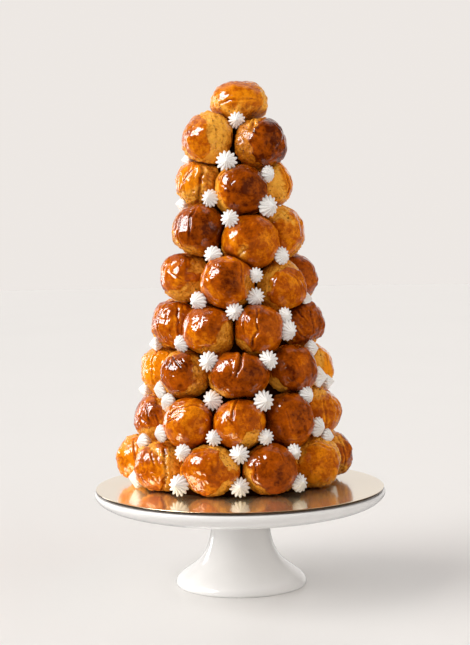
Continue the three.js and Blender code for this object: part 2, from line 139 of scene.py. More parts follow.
# Puffs that differ from a plain one. wide, tall, cap, base, out, up and cleft shape it. The rest is its
# finish, seen from the front in half sizes, x to the right and z up: tone is how dark the caramel is and
# bake how brown the bare crust, 0 for light and 1 for dark. glaze lists caramel patches (x, z, radius) and
# edge is how soft their edges are, bare lists spots (x, z, radius) that it left free, deep lists spots (x,
# z, radius, amount) that are darker or paler, and folds lists creases (x, z, x, z, depth in mm). rise is
# how far the caramel stands up and rugged how wrinkled the puff is, beside a plain one's 1.
PUFFS = {
    # The pale tones of the puffs on the left of the cone, 1_1, 3_1, 7_1 and 8_1, and the paler deep spots on
    # the left sides of many puffs, are partly painted light from the left.
    "puff_1_1": dict(out=3, up=1, tone=0.12, bake=-0.02, rugged=1.6, glaze=[(-0.6, -0.1, 0.65),
        (-0.2, 0.6, 0.45)], folds=[(-0.15, 0.8, 0.0, -0.7, 1.0), (0.3, 0.7, 0.45, 0.0, 0.8)]),
    "puff_1_2": dict(wide=44, tall=44, tone=0.41, bake=0.06, rugged=1.1, edge=0.07,
        glaze=[(-0.7, 0.0, 0.88), (-0.35, -0.6, 0.48), (0.1, 0.85, 0.35)], bare=[(0.62, 0.0, 0.48)],
        deep=[(-0.6, 0.5, 0.3, 0.12), (0.2, 0.75, 0.3, 0.12)], folds=[(0.14, 0.8, 0.1, -0.85, 1.9),
        (-0.3, 0.75, -0.2, 0.2, 0.7), (-0.75, -0.3, -0.3, -0.75, 0.7)]),
    "puff_1_3": dict(wide=49, tall=43, tone=0.4, bake=0.08, rise=1.6, rugged=0.7, edge=0.05,
        glaze=[(-0.25, 0.15, 1.02), (0.75, -0.02, 0.26)], bare=[(0.68, 0.5, 0.4), (0.6, -0.6, 0.42),
        (-0.75, -0.62, 0.25)], deep=[(0.0, 0.45, 0.42, 0.1), (-0.45, 0.45, 0.3, 0.1),
        (0.1, -0.12, 0.28, 0.1), (0.1, -0.6, 0.3, -0.08)], folds=[(-0.95, 0.1, -0.6, -0.65, 0.9),
        (-0.82, 0.0, -0.4, -0.7, 0.7), (0.4, 0.75, 0.75, 0.3, 0.6)]),
    "puff_1_4": dict(wide=47, tall=43.5, tone=0.69, bake=0.22, rise=1.2, rugged=0.7,
        glaze=[(0.2, 0.25, 1.15)], deep=[(0.0, 0.2, 0.5, 0.1), (-0.7, -0.45, 0.45, -0.2)],
        folds=[(-0.55, 0.35, -0.5, -0.2, 0.7), (0.3, 0.75, 0.5, 0.45, 0.5)], bare=[(-0.88, -0.15, 0.4),
        (-0.55, -0.72, 0.48), (0.0, -0.98, 0.3)], edge=0.1),
    "puff_1_5": dict(wide=45, tall=45, tone=0.28, bake=0.12, rise=1.2, rugged=0.9, edge=0.3,
        glaze=[(0.15, 0.1, 0.9)], deep=[(-0.15, -0.65, 0.32, -0.25), (0.45, 0.2, 0.4, 0.08)],
        folds=[(-0.3, 0.75, 0.5, 0.6, 0.6)]),
    "puff_1_6": dict(tone=0.62, bake=0.32, glaze=[(0.6, 0.1, 0.5)], folds=[(0.3, 0.8, 0.6, -0.5, 0.9)]),
    "puff_1_7": dict(out=-2),
    "puff_1_8": dict(out=-4),
    "puff_1_9": dict(out=-3),
    "puff_2_1": dict(wide=44, tall=43, tone=0.5, bake=0.2, rugged=1.1, glaze=[(-0.4, 0.3, 0.6)], edge=0.1,
        deep=[(-0.3, 0.45, 0.35, 0.15), (-0.5, -0.7, 0.35, -0.2)], folds=[(-0.45, 0.6, -0.3, -0.1, 0.9),
        (-0.75, 0.1, -0.3, -0.1, 0.8), (-0.1, 0.3, 0.1, -0.5, 0.8)]),
    "puff_2_2": dict(wide=43, tall=44, tone=0.38, bake=0.16, rise=1.2, rugged=0.5,
        glaze=[(0.15, -0.1, 1.4)], deep=[(0.25, -0.3, 0.6, 0.06)], folds=[(-0.75, 0.4, -0.1, 0.72, 0.9),
        (-0.1, 0.72, 0.6, 0.6, 0.6), (-0.8, 0.1, -0.4, 0.35, 0.6)]),
    "puff_2_3": dict(wide=44.5, tall=42, tone=0.44, bake=0.12, rugged=0.8, glaze=[(-0.1, 0.2, 1.45)],
        edge=0.04, rise=1.6, bare=[(0.45, -0.66, 0.56)], deep=[(0.6, 0.1, 0.35, 0.16),
        (0.05, 0.75, 0.35, 0.1)], folds=[(-0.1, 0.95, -0.25, 0.4, 1.5), (0.75, 0.25, 0.8, -0.2, 0.7),
        (-0.5, 0.4, -0.2, 0.1, 0.7)]),
    "puff_2_4": dict(wide=43, tall=47.5, up=1, tone=0.73, bake=0.47, rugged=1.0, glaze=[(0.05, 0.1, 1.35)],
        deep=[(0.3, 0.2, 0.38, 0.1), (0.2, -0.75, 0.4, -0.12)], folds=[(-0.1, 0.5, 0.1, -0.3, 0.5),
        (-0.6, -0.5, 0.5, -0.6, 0.5)]),
    "puff_2_5": dict(wide=44, tall=43, up=3, tone=0.32, bake=0.16, rugged=1.0, glaze=[(0.3, 0.0, 0.8)],
        deep=[(0.3, -0.05, 0.5, 0.08)], folds=[(0.2, 0.6, 0.3, -0.5, 0.7)]),
    "puff_2_6": dict(tone=0.4, bake=0.3, edge=0.14),
    "puff_3_1": dict(tone=-0.25, bake=-0.2, rugged=1.8, glaze=[(-0.4, 0.2, 0.8)],
        folds=[(-0.2, 0.85, -0.3, -0.7, 1.2), (0.3, 0.5, -0.1, 0.1, 0.9)]),
    "puff_3_2": dict(wide=44.5, tall=42, tone=0.72, bake=0.34, rise=1.3, rugged=0.8,
        glaze=[(-0.45, 0.2, 0.86)], edge=0.12, deep=[(-0.3, 0.5, 0.35, 0.08)],
        folds=[(-0.55, 0.75, -0.15, 0.35, 0.9), (-0.1, 0.7, 0.1, 0.35, 0.6)]),
    "puff_3_3": dict(wide=52.5, tall=41, cleft=8, tone=0.73, bake=0.35, rise=1.1, rugged=0.8,
        glaze=[(0.0, 0.1, 1.35)], deep=[(0.45, 0.15, 0.45, 0.08), (-0.15, -0.35, 0.25, -0.1),
        (-0.75, -0.75, 0.35, -0.3)], folds=[(0.12, 1.0, -0.02, 0.3, 2.2), (-0.02, 0.3, -0.15, 0.05, 0.8)],
        bare=[(-0.8, -0.55, 0.42), (-0.3, -0.9, 0.3)]),
    "puff_3_4": dict(wide=44.5, tall=43.5, up=3, tone=0.72, bake=0.12, rise=1.5, rugged=0.8, edge=0.1,
        glaze=[(0.25, 0.2, 1.15)], deep=[(0.0, -0.05, 0.25, 0.18), (0.4, 0.3, 0.4, -0.1),
        (-0.6, -0.65, 0.4, -0.25)], folds=[(0.1, 0.45, 0.25, 0.0, 0.4)], bare=[(-0.6, -0.65, 0.45)]),
    "puff_3_5": dict(tone=0.08, bake=0, rugged=1.0, glaze=[(0.8, 0.2, 0.4)],
        folds=[(0.3, 0.85, 0.25, -0.7, 0.9), (0.6, 0.6, 0.6, -0.4, 0.8)]),
    "puff_4_1": dict(wide=44, tall=43, up=2, tone=0.44, bake=0.2, rugged=1.4, glaze=[(-0.25, 0.15, 1.1)],
        deep=[(-0.25, 0.6, 0.35, 0.12), (0.35, 0.1, 0.35, 0.08)], folds=[(0.05, 0.75, 0.1, -0.45, 1.1),
        (-0.35, 0.8, -0.7, 0.2, 0.7), (-0.7, 0.2, -0.6, -0.5, 0.7)]),
    "puff_4_2": dict(wide=47.5, tall=43, up=-1.5, tone=0.5, bake=0.45, rise=1.4, rugged=0.55, edge=0.1,
        glaze=[(-0.5, 0.3, 0.98), (0.3, 0.75, 0.5)], deep=[(0.1, 0.4, 0.45, 0.12),
        (-0.65, -0.15, 0.4, -0.1)], folds=[(-0.2, 0.95, 0.35, 0.85, 0.4)]),
    "puff_4_3": dict(wide=43.5, tall=43.5, up=-1, tone=0.6, bake=0.26, rugged=0.7, glaze=[(0.15, 0.2, 1.3)],
        edge=0.08, bare=[(-0.65, -0.7, 0.5), (0.0, -0.95, 0.35)], deep=[(0.0, 0.75, 0.4, 0.13),
        (-0.3, 0.1, 0.3, -0.12)], folds=[(-0.06, 0.85, -0.06, 0.0, 0.9), (-0.1, 0.0, -0.3, -0.6, 1.5),
        (-0.5, 0.6, -0.55, -0.1, 0.8)]),
    "puff_4_4": dict(wide=46, tall=42, up=1.5, tone=0.66, bake=0.35, rugged=1.7, glaze=[(0.1, 0.1, 1.3)],
        folds=[(-0.1, 0.6, 0.3, 0.1, 1.0), (-0.3, 0.1, 0.2, -0.5, 0.9), (0.4, 0.6, 0.5, -0.2, 0.8),
        (-0.5, 0.4, 0.1, -0.1, 0.7)], bare=[(-0.5, -0.6, 0.45)]),
    "puff_4_7": dict(out=4, up=3, tone=0.35, bake=0.2, edge=0.14),
    "puff_5_1": dict(up=4, tone=0.46, bake=0.16, rugged=0.9, edge=0.06, glaze=[(-0.62, 0.4, 0.84),
        (-0.35, -0.1, 0.4), (0.2, 0.05, 0.25), (0.5, 0.0, 0.16)], deep=[(-0.1, 0.85, 0.3, 0.05),
        (0.3, 0.45, 0.35, 0.06), (0.0, -0.7, 0.5, -0.1)], folds=[(-0.55, 0.2, -0.1, -0.05, 0.8),
        (0.45, -0.1, 0.1, -0.65, 0.6), (0.0, 0.8, 0.1, 0.2, 0.4)]),
    "puff_5_2": dict(wide=45, tall=46, out=1, tone=0.44, bake=0.45, rise=2.4, rugged=0.7, edge=0.1,
        glaze=[(0.0, 0.0, 1.4)], deep=[(0.05, 0.25, 0.62, 0.24), (0.08, 0.15, 0.35, 0.12)],
        folds=[(-0.7, -0.5, -0.3, -0.8, 0.6), (0.45, 0.75, 0.55, 0.0, 0.7)], bare=[(0.88, -0.1, 0.42),
        (0.55, -0.8, 0.4)]),
    "puff_5_3": dict(wide=45, tall=43, up=-5.5, tone=0.41, bake=0.22, rise=2.0, rugged=0.6,
        glaze=[(0.42, 0.0, 0.94)], edge=0.08, deep=[(-0.05, 0.05, 0.35, 0.1)],
        folds=[(-0.5, 0.5, -0.45, -0.3, 0.5), (0.3, 0.6, 0.75, 0.1, 0.5)]),
    "puff_5_4": dict(out=3, up=0.5, tone=0.62, bake=0.4, rugged=1.0, glaze=[(0.3, 0.1, 1.0)]),
    "puff_6_1": dict(wide=49, tall=44.5, out=4, up=4, tone=0.74, bake=0.4, rise=1.3, rugged=0.7,
        glaze=[(0.25, 0.3, 1.3)], deep=[(0.15, 0.25, 0.55, 0.16), (-0.8, -0.3, 0.4, -0.25)],
        folds=[(-0.1, 0.8, -0.3, -0.2, 0.9), (-0.55, 0.6, -0.7, -0.3, 0.8),
        (-0.75, -0.2, -0.3, -0.75, 0.7)], bare=[(-0.3, -0.85, 0.45)]),
    "puff_6_2": dict(wide=50.5, tall=47, up=-5.5, tone=0.43, bake=0.18, rugged=0.7,
        glaze=[(0.08, 0.12, 1.4)], bare=[(-0.4, -0.4, 0.15)], deep=[(0.15, 0.65, 0.5, 0.14),
        (-0.75, 0.0, 0.35, -0.15), (0.3, -0.3, 0.4, 0.06)], folds=[(-0.4, -0.15, -0.12, -0.25, 1.2),
        (-0.45, -0.5, -0.1, -0.25, 0.9)]),
    "puff_6_3": dict(wide=46, tall=46, out=1, up=3, tone=0.29, bake=0.15, rugged=0.9, edge=0.3,
        glaze=[(0.12, -0.25, 0.75)], deep=[(0.25, -0.35, 0.4, 0.08)], folds=[(-0.35, 0.4, 0.0, 0.65, 0.8),
        (0.0, 0.65, 0.4, 0.45, 0.8)]),
    "puff_7_1": dict(wide=45, tall=42, up=3.5, tone=0.17, bake=0.02, rugged=1.5, glaze=[(-0.5, 0.3, 0.6)],
        deep=[(-0.05, -0.4, 0.26, 0.2), (0.6, 0.15, 0.5, 0.3)], folds=[(0.15, 0.75, -0.1, -0.85, 2.8),
        (-0.15, 0.6, -0.6, 0.1, 0.9), (-0.6, 0.0, -0.4, -0.6, 0.7)]),
    "puff_7_2": dict(wide=45.5, tall=44.5, up=-2.5, tone=0.79, bake=0.15, rise=1.4, rugged=0.8,
        glaze=[(0.35, 0.05, 1.22)], deep=[(0.4, 0.15, 0.4, 0.12), (0.15, -0.1, 0.2, 0.15),
        (-0.85, -0.2, 0.45, -0.35)], folds=[(-0.85, -0.1, -0.6, -0.5, 0.8), (-0.8, 0.5, -0.6, 0.1, 0.7)]),
    "puff_7_3": dict(wide=44, tall=43, up=2, tone=0.24, bake=-0.06, rugged=0.9, glaze=[(0.95, 0.05, 0.45)],
        folds=[(0.3, 0.9, 0.65, -0.6, 1.2)]),
    "puff_7_4": dict(up=-3),
    "puff_8_1": dict(wide=51, tall=46, up=3, out=2, tone=0.3, bake=0, rugged=0.9, edge=0.05,
        glaze=[(-0.7, 0.35, 0.78), (-0.5, -0.25, 0.6)], deep=[(-0.15, 0.0, 0.3, 0.12),
        (-0.6, 0.3, 0.3, 0.08), (0.75, -0.15, 0.35, 0.35)], folds=[(0.15, 0.9, 0.3, -0.4, 0.7),
        (0.5, 0.7, 0.5, -0.3, 0.8), (0.8, 0.3, 0.85, -0.2, 1.2)]),
    "puff_8_2": dict(wide=49, tall=45, out=5, up=-1.5, tone=0.9, bake=0.5, rugged=0.9, edge=0.05, rise=1.5,
        glaze=[(0.62, -0.1, 1.0), (0.5, 0.6, 0.62)], deep=[(0.5, 0.4, 0.45, 0.08),
        (0.1, -0.15, 0.35, -0.14)], folds=[(-0.15, 0.95, -0.35, 0.45, 1.7), (-0.35, 0.42, 0.0, 0.2, 1.2),
        (-0.6, 0.2, -0.6, -0.5, 0.7)]),
    "puff_top": dict(wide=52, tall=49, cap=20, base=16.5, tone=0.28, bake=0.06, rugged=0.9, rise=0.4,
        glaze=[(-0.1, 0.8, 1.0), (0.4, 0.2, 0.5)], deep=[(0.2, 0.8, 0.5, 0.08)],
        folds=[(-0.8, -0.1, -0.1, 0.1, 1.0), (-0.1, 0.1, 0.6, 0.1, 0.8), (-0.6, -0.5, 0.3, -0.4, 0.8)]),
}

# The stars of the front half, from the board up: (place in degrees, height over the board, size).
FRONT_STARS = (
    (-66, STAR_ON_BOARD, 9), (-28, STAR_ON_BOARD, 8.8), (2.5, STAR_ON_BOARD, 8.2),
    (33, STAR_ON_BOARD, 7.8), (74, STAR_ON_BOARD, 7),
    (-62, 39, 7.6), (-29, 35, 7.4), (1.5, 35, 8.2), (31.5, 34, 7.2), (60, 42, 7),
    (-47, 49, 7.4), (-13, 48.5, 6.8), (16, 48.5, 6.7), (51.5, 52, 8.3),
    (-88, 81, 7), (-55, 85.5, 7.4), (-46, 75.5, 7.8), (-17, 80.5, 8.6), (15.5, 78.5, 8.7), (46, 80, 8),
    (63, 93.5, 8.8), (80, 87, 7),
    (-80, 122.5, 7), (-42, 125.5, 7.5), (-18.5, 111.5, 8.5), (20, 112, 8.3), (60, 118.5, 7.2),
    (-31.5, 162, 8.2), (-2.5, 154, 7.5), (36.5, 149, 6.8), (37.5, 136, 8.6), (67, 161, 6.4),
    (-21.5, 201, 8.2), (15.5, 184.5, 6.4), (15, 166.5, 7.8), (42.5, 200, 7.6),
    (-79, 246, 7), (-30.5, 251.5, 7.6), (-6.5, 232.5, 7.5), (36, 243, 9.2),
    (-86, 285, 6.6), (-8.5, 282, 8.8), (44, 271, 7.2), (1, 319, 7.2),
)


# ---------------------------------------------------------------- small helpers
SCATTER_TURNS = (12.9898, 78.233, 37.719)
SCATTER_GAINS = (43758.5453, 22578.1459, 19642.3491)


def draw(index, use):
    """A repeatable draw between 0 and 1 for thing number `index` and purpose number `use`."""
    wave = math.sin(index * SCATTER_TURNS[0] + use * SCATTER_TURNS[1]) * SCATTER_GAINS[0]
    return wave - math.floor(wave)


def mix(low, high, part):
    return low + (high - low) * part


def unit(vector):
    return vector / np.linalg.norm(vector)


def outward(place, lift):
    """The direction that looks out of the cone at `place` degrees, raised by `lift` degrees."""
    turn, rise = math.radians(place), math.radians(lift)
    return np.array((math.sin(turn) * math.cos(rise), -math.cos(turn) * math.cos(rise), math.sin(rise)))


def on_shell(place, radius, shift, z):
    turn = math.radians(place)
    return np.array((shift + radius * math.sin(turn), CONE_BACK - radius * math.cos(turn), z))


def shell_at(z):
    """Radius and shift of the shell at height z, by straight lines between the rings."""
    levels = [ring[:3] for ring in RINGS] + [(0, TOP_HEIGHT, TOP_SHIFT)]
    height = z - BOARD_TOP
    above = [i for i, level in enumerate(levels) if level[1] > height]
    upper = min(max(above[0] if above else len(levels) - 1, 1), len(levels) - 1)
    low, high = levels[upper - 1], levels[upper]
    part = (height - low[1]) / (high[1] - low[1])
    return mix(low[0], high[0], part), mix(low[2], high[2], part)


def step(edge_low, edge_high, value):
    """0 below the first edge, 1 over the second, and smooth between them."""
    part = np.clip((value - edge_low) / (edge_high - edge_low), 0, 1)
    return part * part * (3 - 2 * part)


CORNERS = np.array(list(itertools.product((0, 1), repeat=3)))


def noise(points, salt):
    """Smooth noise between about -1 and 1 whose bumps are about one unit apart."""
    cells = np.floor(points)
    part = points - cells
    fade = part ** 3 * (part * (part * 6 - 15) + 10)
    total = np.zeros(len(points))
    for corner in CORNERS:
        wave = np.sin((cells + corner) @ np.array(SCATTER_TURNS) + salt)
        slopes = np.stack([wave * gain for gain in SCATTER_GAINS], axis=1)
        slopes = 2 * (slopes - np.floor(slopes)) - 1
        weight = np.where(corner, fade, 1 - fade).prod(axis=1)
        total += weight * ((part - corner) * slopes).sum(axis=1)
    return 1.5 * total


# ---------------------------------------------------------------- the form of the puffs
class Puff:
    """A puff's middle, its own three directions, its sizes, the lobes of its crust and its finish."""

    def __init__(self, name, ring, index, middle, out, own):
        self.name, self.ring, self.index = name, ring, index
        self.middle, self.out, self.own = middle, out, own
        self.across = np.array((1.0, 0.0, 0.0)) if abs(out[2]) > 0.9 else unit(np.cross(UP, out))
        self.rise = unit(np.cross(out, self.across))
        self.directions = self.across, self.rise, self.out
        self.touches = []
        self.lobes = []
        for lobe in range(PUFF_LOBES):
            off = math.radians(mix(*LOBE_OFF, draw(index, lobe + 10)))
            turn = math.radians((lobe + draw(index, lobe + 20)) * 360 / PUFF_LOBES)
            aside = self.across * math.cos(turn) + self.rise * math.sin(turn)
            toward = out * math.cos(off) + math.sin(off) * aside
            self.lobes.append((toward, mix(*LOBE_SWELL, draw(index, lobe + 30))))

    def free_reach(self, toward, fullness=ROUND_FULLNESS, cap_fullness=CAP_FULLNESS):
        """Distance from the middle to the surface along each row of `toward`, with no neighbours."""
        own = self.own
        side = np.abs(toward @ self.across) / (own["wide"] / 2)
        height = np.abs(toward @ self.rise) / (own["tall"] / 2)
        along = toward @ self.out
        depth = np.abs(along) / np.where(along > 0, own["cap"], own["base"])
        bulge = np.where(along > 0, cap_fullness, BASE_FULLNESS)
        rim = (side ** fullness + height ** fullness) ** (1 / fullness)
        reach = (rim ** bulge + depth ** bulge) ** (-1 / bulge)
        swell = np.full(len(toward), -LOBE_SWELL[0])
        for lobe, amount in self.lobes:
            swell += amount * np.exp((toward @ lobe - 1) / LOBE_SPREAD)
        if "cleft" in own:
            clock = math.radians(own["cleft"])
            fold = unit(self.rise * math.cos(clock) + self.across * math.sin(clock) + self.out * CLEFT_LIFT)
            swell -= CLEFT_DEPTH * np.exp((toward @ fold - 1) / CLEFT_SPREAD)
        return reach * (1 + swell)

    def pressed_reach(self, toward, reach=None, soft=0.0):
        """The same with the puff drawn out to, and pressed on, what it touches. `soft` rounds the edge."""
        reach = self.free_reach(toward) if reach is None else reach
        for way, limit, stretch in self.touches:
            reach = reach + stretch * np.exp((toward @ way - 1) / STRETCH_SPREAD)
        for way, limit, stretch in self.touches:
            lean = toward @ way
            wall = limit / np.maximum(lean, WALL_LEAST_LEAN)
            wall = np.where(lean > WALL_LEAST_LEAN, wall, NO_WALL)
            reach = np.minimum(reach, wall) if not soft else soft_least(reach, wall, soft)
        return reach

    def air_at(self, points):
        """Air from each of the points to the surface, below 0 inside the puff."""
        span = points - self.middle
        distance = np.linalg.norm(span, axis=1)
        return distance - self.pressed_reach(span / distance[:, None])

    def air_to(self, point):
        return self.air_at(point[None])[0]


def soft_least(first, second, width):
    """The lesser of two values, with the corner between them rounded over `width`."""
    part = np.clip(0.5 + 0.5 * (second - first) / width, 0, 1)
    return second * (1 - part) + first * part - width * part * (1 - part)


def meet(first, second):
    """Shares the space between two near puffs with a flat wall that each stays behind."""
    span = second.middle - first.middle
    distance = np.linalg.norm(span)
    toward = span / distance
    reaches = first.free_reach(toward[None])[0], second.free_reach(-toward[None])[0]
    gap = distance - sum(reaches)
    reachable = STRETCH_REACH if first.ring == second.ring else REST_REACH
    if gap > REST_REACH:
        return
    for puff, way, reach in ((first, toward, reaches[0]), (second, -toward, reaches[1])):
        limit = distance * reach / sum(reaches) - CLEARANCE / 2
        puff.touches.append((way, limit, max(0, limit - reach) if gap < reachable else 0))


def arrange_puffs():
    """All puffs of the cone, from the board up, pressed on each other and on the board."""
    puffs = []
    for r, (radius, height, shift, places) in enumerate(RINGS):
        for i, place in enumerate(places):
            index, name = len(puffs), f"puff_{r + 1}_{i + 1}"
            own = dict(PLAIN)
            for use, key in enumerate(SIZE_SPREAD):
                own[key] *= 1 + SIZE_SPREAD[key] * (draw(index, use + 1) - 0.5)
            own.update(PUFFS.get(name, {}))
            middle = on_shell(place, radius + own["out"], shift, BOARD_TOP + height + own["up"])
            turned = place + TILT_SPREAD * (draw(index, 4) - 0.5)
            out = outward(turned, CONE_SLOPE + TILT_SPREAD * (draw(index, 5) - 0.5))
            puffs.append(Puff(name, r, index, middle, out, own))
    top = np.array((TOP_SHIFT, CONE_BACK, BOARD_TOP + TOP_HEIGHT))
    puffs.append(Puff("puff_top", len(RINGS), len(puffs), top, UP, dict(PLAIN, **PUFFS["puff_top"])))
    for first, second in itertools.combinations(puffs, 2):
        meet(first, second)
    for puff in puffs:
        if puff.ring == 0:
            limit = puff.middle[2] - BOARD_TOP - CLEARANCE
            puff.touches.append((-UP, limit, max(0, limit - puff.free_reach(-UP[None])[0])))
    return puffs


# ---------------------------------------------------------------- the places of the stars
class Star:
    """A star's place in degrees, its height, its size and whether it stands on the board."""

    def __init__(self, place, z, size, on_board):
        self.place, self.z, self.size, self.on_board = place, z, size, on_board

    def point(self, proud):
        """Its middle, `proud` out from the shell."""
        radius, shift = shell_at(self.z)
        return on_shell(self.place, radius, shift, self.z) + proud * outward(self.place, CONE_SLOPE)

    def air(self, proud, puffs):
        """Air from its middle to the nearest puff."""
        point = self.point(proud)
        return min(puff.air_to(point) for puff in puffs if np.linalg.norm(puff.middle - point) < NEAR)

    def settle(self, puffs):
        """Moves round and up or down, in ever smaller steps, to where the gap is widest."""
        proud = (STAR_SUNK + STAR_PROUD) / 2
        air = self.air(proud, puffs)
        stride = STAR_FIRST_STEP
        while stride > STAR_LAST_STEP:
            turn = math.degrees(stride / shell_at(self.z)[0])
            moves = [(turn, 0), (-turn, 0)] + ([] if self.on_board else [(0, stride), (0, -stride)])
            tries = [Star(self.place + p, self.z + h, self.size, self.on_board) for p, h in moves]
            airs = [star.air(proud, puffs) for star in tries]
            best = int(np.argmax(airs))
            if airs[best] > air + STAR_LEAST_GAIN:
                self.place, self.z, air = tries[best].place, tries[best].z, airs[best]
            else:
                stride /= 2
        return self

    def rise(self, puffs):
        """Moves out of the gap until it spreads just over the puffs round it."""
        proud = STAR_SUNK
        self.least_air = self.air(proud, puffs)
        while self.least_air < self.size - STAR_OVERLAP and proud < STAR_PROUD:
            proud += STAR_RISE
            self.least_air = self.air(proud, puffs)
        self.middle = self.point(proud)
        return self


def back_gaps(puffs):
    """The gaps above and below every two neighbours in a ring, where the back half has its stars."""
    gaps = []
    for r, (radius, height, shift, places) in enumerate(RINGS):
        row = [puff for puff in puffs if puff.ring == r]
        for i, place in enumerate(places):
            following = places[i + 1] if i + 1 < len(places) else places[0] + 360
            between = (row[i].middle[2] + row[(i + 1) % len(row)].middle[2]) / 2
            for side in (-1, 1):
                on_board = r == 0 and side < 0
                z = BOARD_TOP + STAR_ON_BOARD if on_board else between + side * STAR_NOTCH
                gaps.append(Star((place + following) / 2, z, STAR_SIZE, on_board).settle(puffs))
    return [gap for gap in gaps if FRONT_HALF < gap.place < 360 - FRONT_HALF]


def arrange_stars(puffs):
    """All stars, each with the puff that it is piped on."""
    stars = [Star(place, BOARD_TOP + height, size, height == STAR_ON_BOARD).rise(puffs)
             for place, height, size in FRONT_STARS]
    for star in back_gaps(puffs):
        star.rise(puffs)
        doubled = any(np.linalg.norm(other.middle - star.middle) < STAR_APART for other in stars)
        if star.least_air >= STAR_LEAST_AIR and not doubled:
            stars.append(star)
    for star in stars:
        near = [puff for puff in puffs if np.linalg.norm(puff.middle - star.middle) < NEAR]
        star.host = min(near, key=lambda puff: puff.air_to(star.middle))
    return stars


PUFF_LIST = arrange_puffs()
STAR_LIST = arrange_stars(PUFF_LIST)


# ---------------------------------------------------------------- meshes
def add_piece(name, points, faces, material, attributes=None):
    """A smooth mesh piece from points in millimetres, with one number for each point under each name."""
    mesh = bpy.data.meshes.new(name)
    mesh.from_pydata((np.asarray(points) * MM).tolist(), [], faces)
    mesh.polygons.foreach_set("use_smooth", [True] * len(mesh.polygons))
    for key, values in (attributes or {}).items():
        layer = mesh.attributes.new(key, "FLOAT", "POINT")
        layer.data.foreach_set("value", np.asarray(values, dtype=np.float32))
    mesh.materials.append(material)
    piece = bpy.data.objects.new(name, mesh)
    bpy.context.scene.collection.objects.link(piece)
    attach(piece, BODY)
    return piece


def net_faces(rings, sides):
    """Faces of a closed net: a first point, `rings` rings of `sides` points, and a last point."""
    last = rings * sides + 1
    faces = []
    for s in range(sides):
        after = (s + 1) % sides
        faces.append((0, 1 + after, 1 + s))
        for low in range(1, last - sides, sides):
            faces.append((low + s, low + after, low + sides + after, low + sides + s))
        faces.append((last - sides + s, last - sides + after, last))
    return faces


def lathe(outline, sides):
    """Points and faces of a closed body turned round the Z axis from (radius, height) points."""
    turns = [s * math.tau / sides for s in range(sides)]
    rings = [(r * math.cos(t), r * math.sin(t), z) for r, z in outline[1:-1] for t in turns]
    return [(0, 0, outline[0][1]), *rings, (0, 0, outline[-1][1])], net_faces(len(outline) - 2, sides)


def trace(start, curves):
    """An outline of (radius, height) points: the first one, then curves (count of points, *corners).

    Each curve runs from the last point to its last corner and leans towards the corners between.
    """
    outline = [start]
    for count, *corners in curves:
        degree = len(corners)
        parts = np.arange(1, count + 1)[:, None] / count
        points = np.zeros((count, 2))
        for k, corner in enumerate((outline[-1], *corners)):
            points += math.comb(degree, k) * (1 - parts) ** (degree - k) * parts ** k * np.array(corner)
        outline.extend(map(tuple, points))
    return outline


def sphere_net(cells):
    """Directions and faces of a cube blown out to a unit ball, with `cells` squares along an edge."""
    u, v = [grid.ravel() for grid in np.mgrid[:cells + 1, :cells + 1]]
    i, j = [grid.ravel() for grid in np.mgrid[:cells, :cells]]
    corner = i * (cells + 1) + j
    corners = np.stack([corner, corner + cells + 1, corner + cells + 2, corner + 1], axis=1)
    places, faces = [], []
    for axis in range(3):
        for side in (0, cells):
            place = np.zeros((len(u), 3), dtype=int)
            place[:, axis], place[:, (axis + 1) % 3], place[:, (axis + 2) % 3] = side, u, v
            faces.append((corners if side else corners[:, ::-1]) + len(u) * len(faces))
            places.append(place)
    lattice, shared = np.unique(np.concatenate(places), axis=0, return_inverse=True)
    directions = np.tan((lattice / cells * 2 - 1) * math.pi / 4)
    directions /= np.linalg.norm(directions, axis=1, keepdims=True)
    return directions, shared.reshape(-1)[np.concatenate(faces)].tolist()


def crowd_to_cap(directions, share):
    """Moves the directions towards +Z, so that the cap gets a finer mesh than the hidden base."""
    polar = np.arccos(np.clip(directions[:, 2], -1, 1))
    moved = polar - share * np.sin(polar)
    flat = directions[:, :2] / np.maximum(np.linalg.norm(directions[:, :2], axis=1, keepdims=True), 1e-9)
    return np.concatenate([flat * np.sin(moved)[:, None], np.cos(moved)[:, None]], axis=1)


# ---------------------------------------------------------------- crust of a puff
# The directions of a puff that is looked at from in front of the cone: right, up and towards the eye.
FROM_FRONT = np.array((1.0, 0.0, 0.0)), UP, np.array((0.0, -1.0, 0.0))
# What a puff draws its finish from where the table says nothing: the least and the most.
DRAWN_FINISH = {"tone": (0.25, 0.85), "bake": (0.15, 0.5), "glaze": (0.9, 1.3), "fold": (0.4, 1.4),
                "rugged": (0.6, 1.3)}
FRONT_EDGE, DRAWN_EDGE = 0.24, 0.14
# The noise on the crust: how far apart its bumps are, in mm, and the salt that sets it apart.
NOISE = {
    "broad rag": (12, 91), "rag": (7, 0), "fine rag": (3.5, 0), "bend x": (6, 41), "bend y": (6, 43),
    "bend z": (6, 47), "lumps": (15, 11), "dimples": (7, 23), "wrinkles": (3.1, 37), "grit": (1.5, 31),
    "rough places": (16, 29), "seams": (11, 53), "seamed places": (13, 59), "fold wander": (8, 51),
    "broad tone": (11, 63), "fine tone": (4.5, 71), "bake": (9, 83), "stains": (13, 97),
    "small stains": (8, 97),
}
SALT_STEP = 3.7
# How far these patterns are bent, so that they don't show the grid of the noise.
BENDS = {"dimples": 0.4, "wrinkles": 0.5, "seams": 0.35}
# A puff's drawn patch and fold: how far the patch lies off its middle, and where the fold starts and ends.
GLAZE_LEAN = 0.7
CREASE_START, CREASE_END, CREASE_BEND = 0.7, 0.5, 0.6
SEEN_MOST = 0.98
# Edges of the patches: how soft, and how ragged a sharp one is and what softness adds to that.
CAP_EDGES = (0.07, 0.05)
DEEP_EDGE = 0.08
EDGE_RAG, SOFT_EDGE_RAG = 0.09, 0.35
DEEP_RISE = 0.4
# A puff whose top leans less than this towards the eye has glaze on its own front too.
SIDEWAYS = 0.5
SIDE_GLAZE = [(0.0, 0.1, 0.8)]
SKIN_SPREAD = 0.25
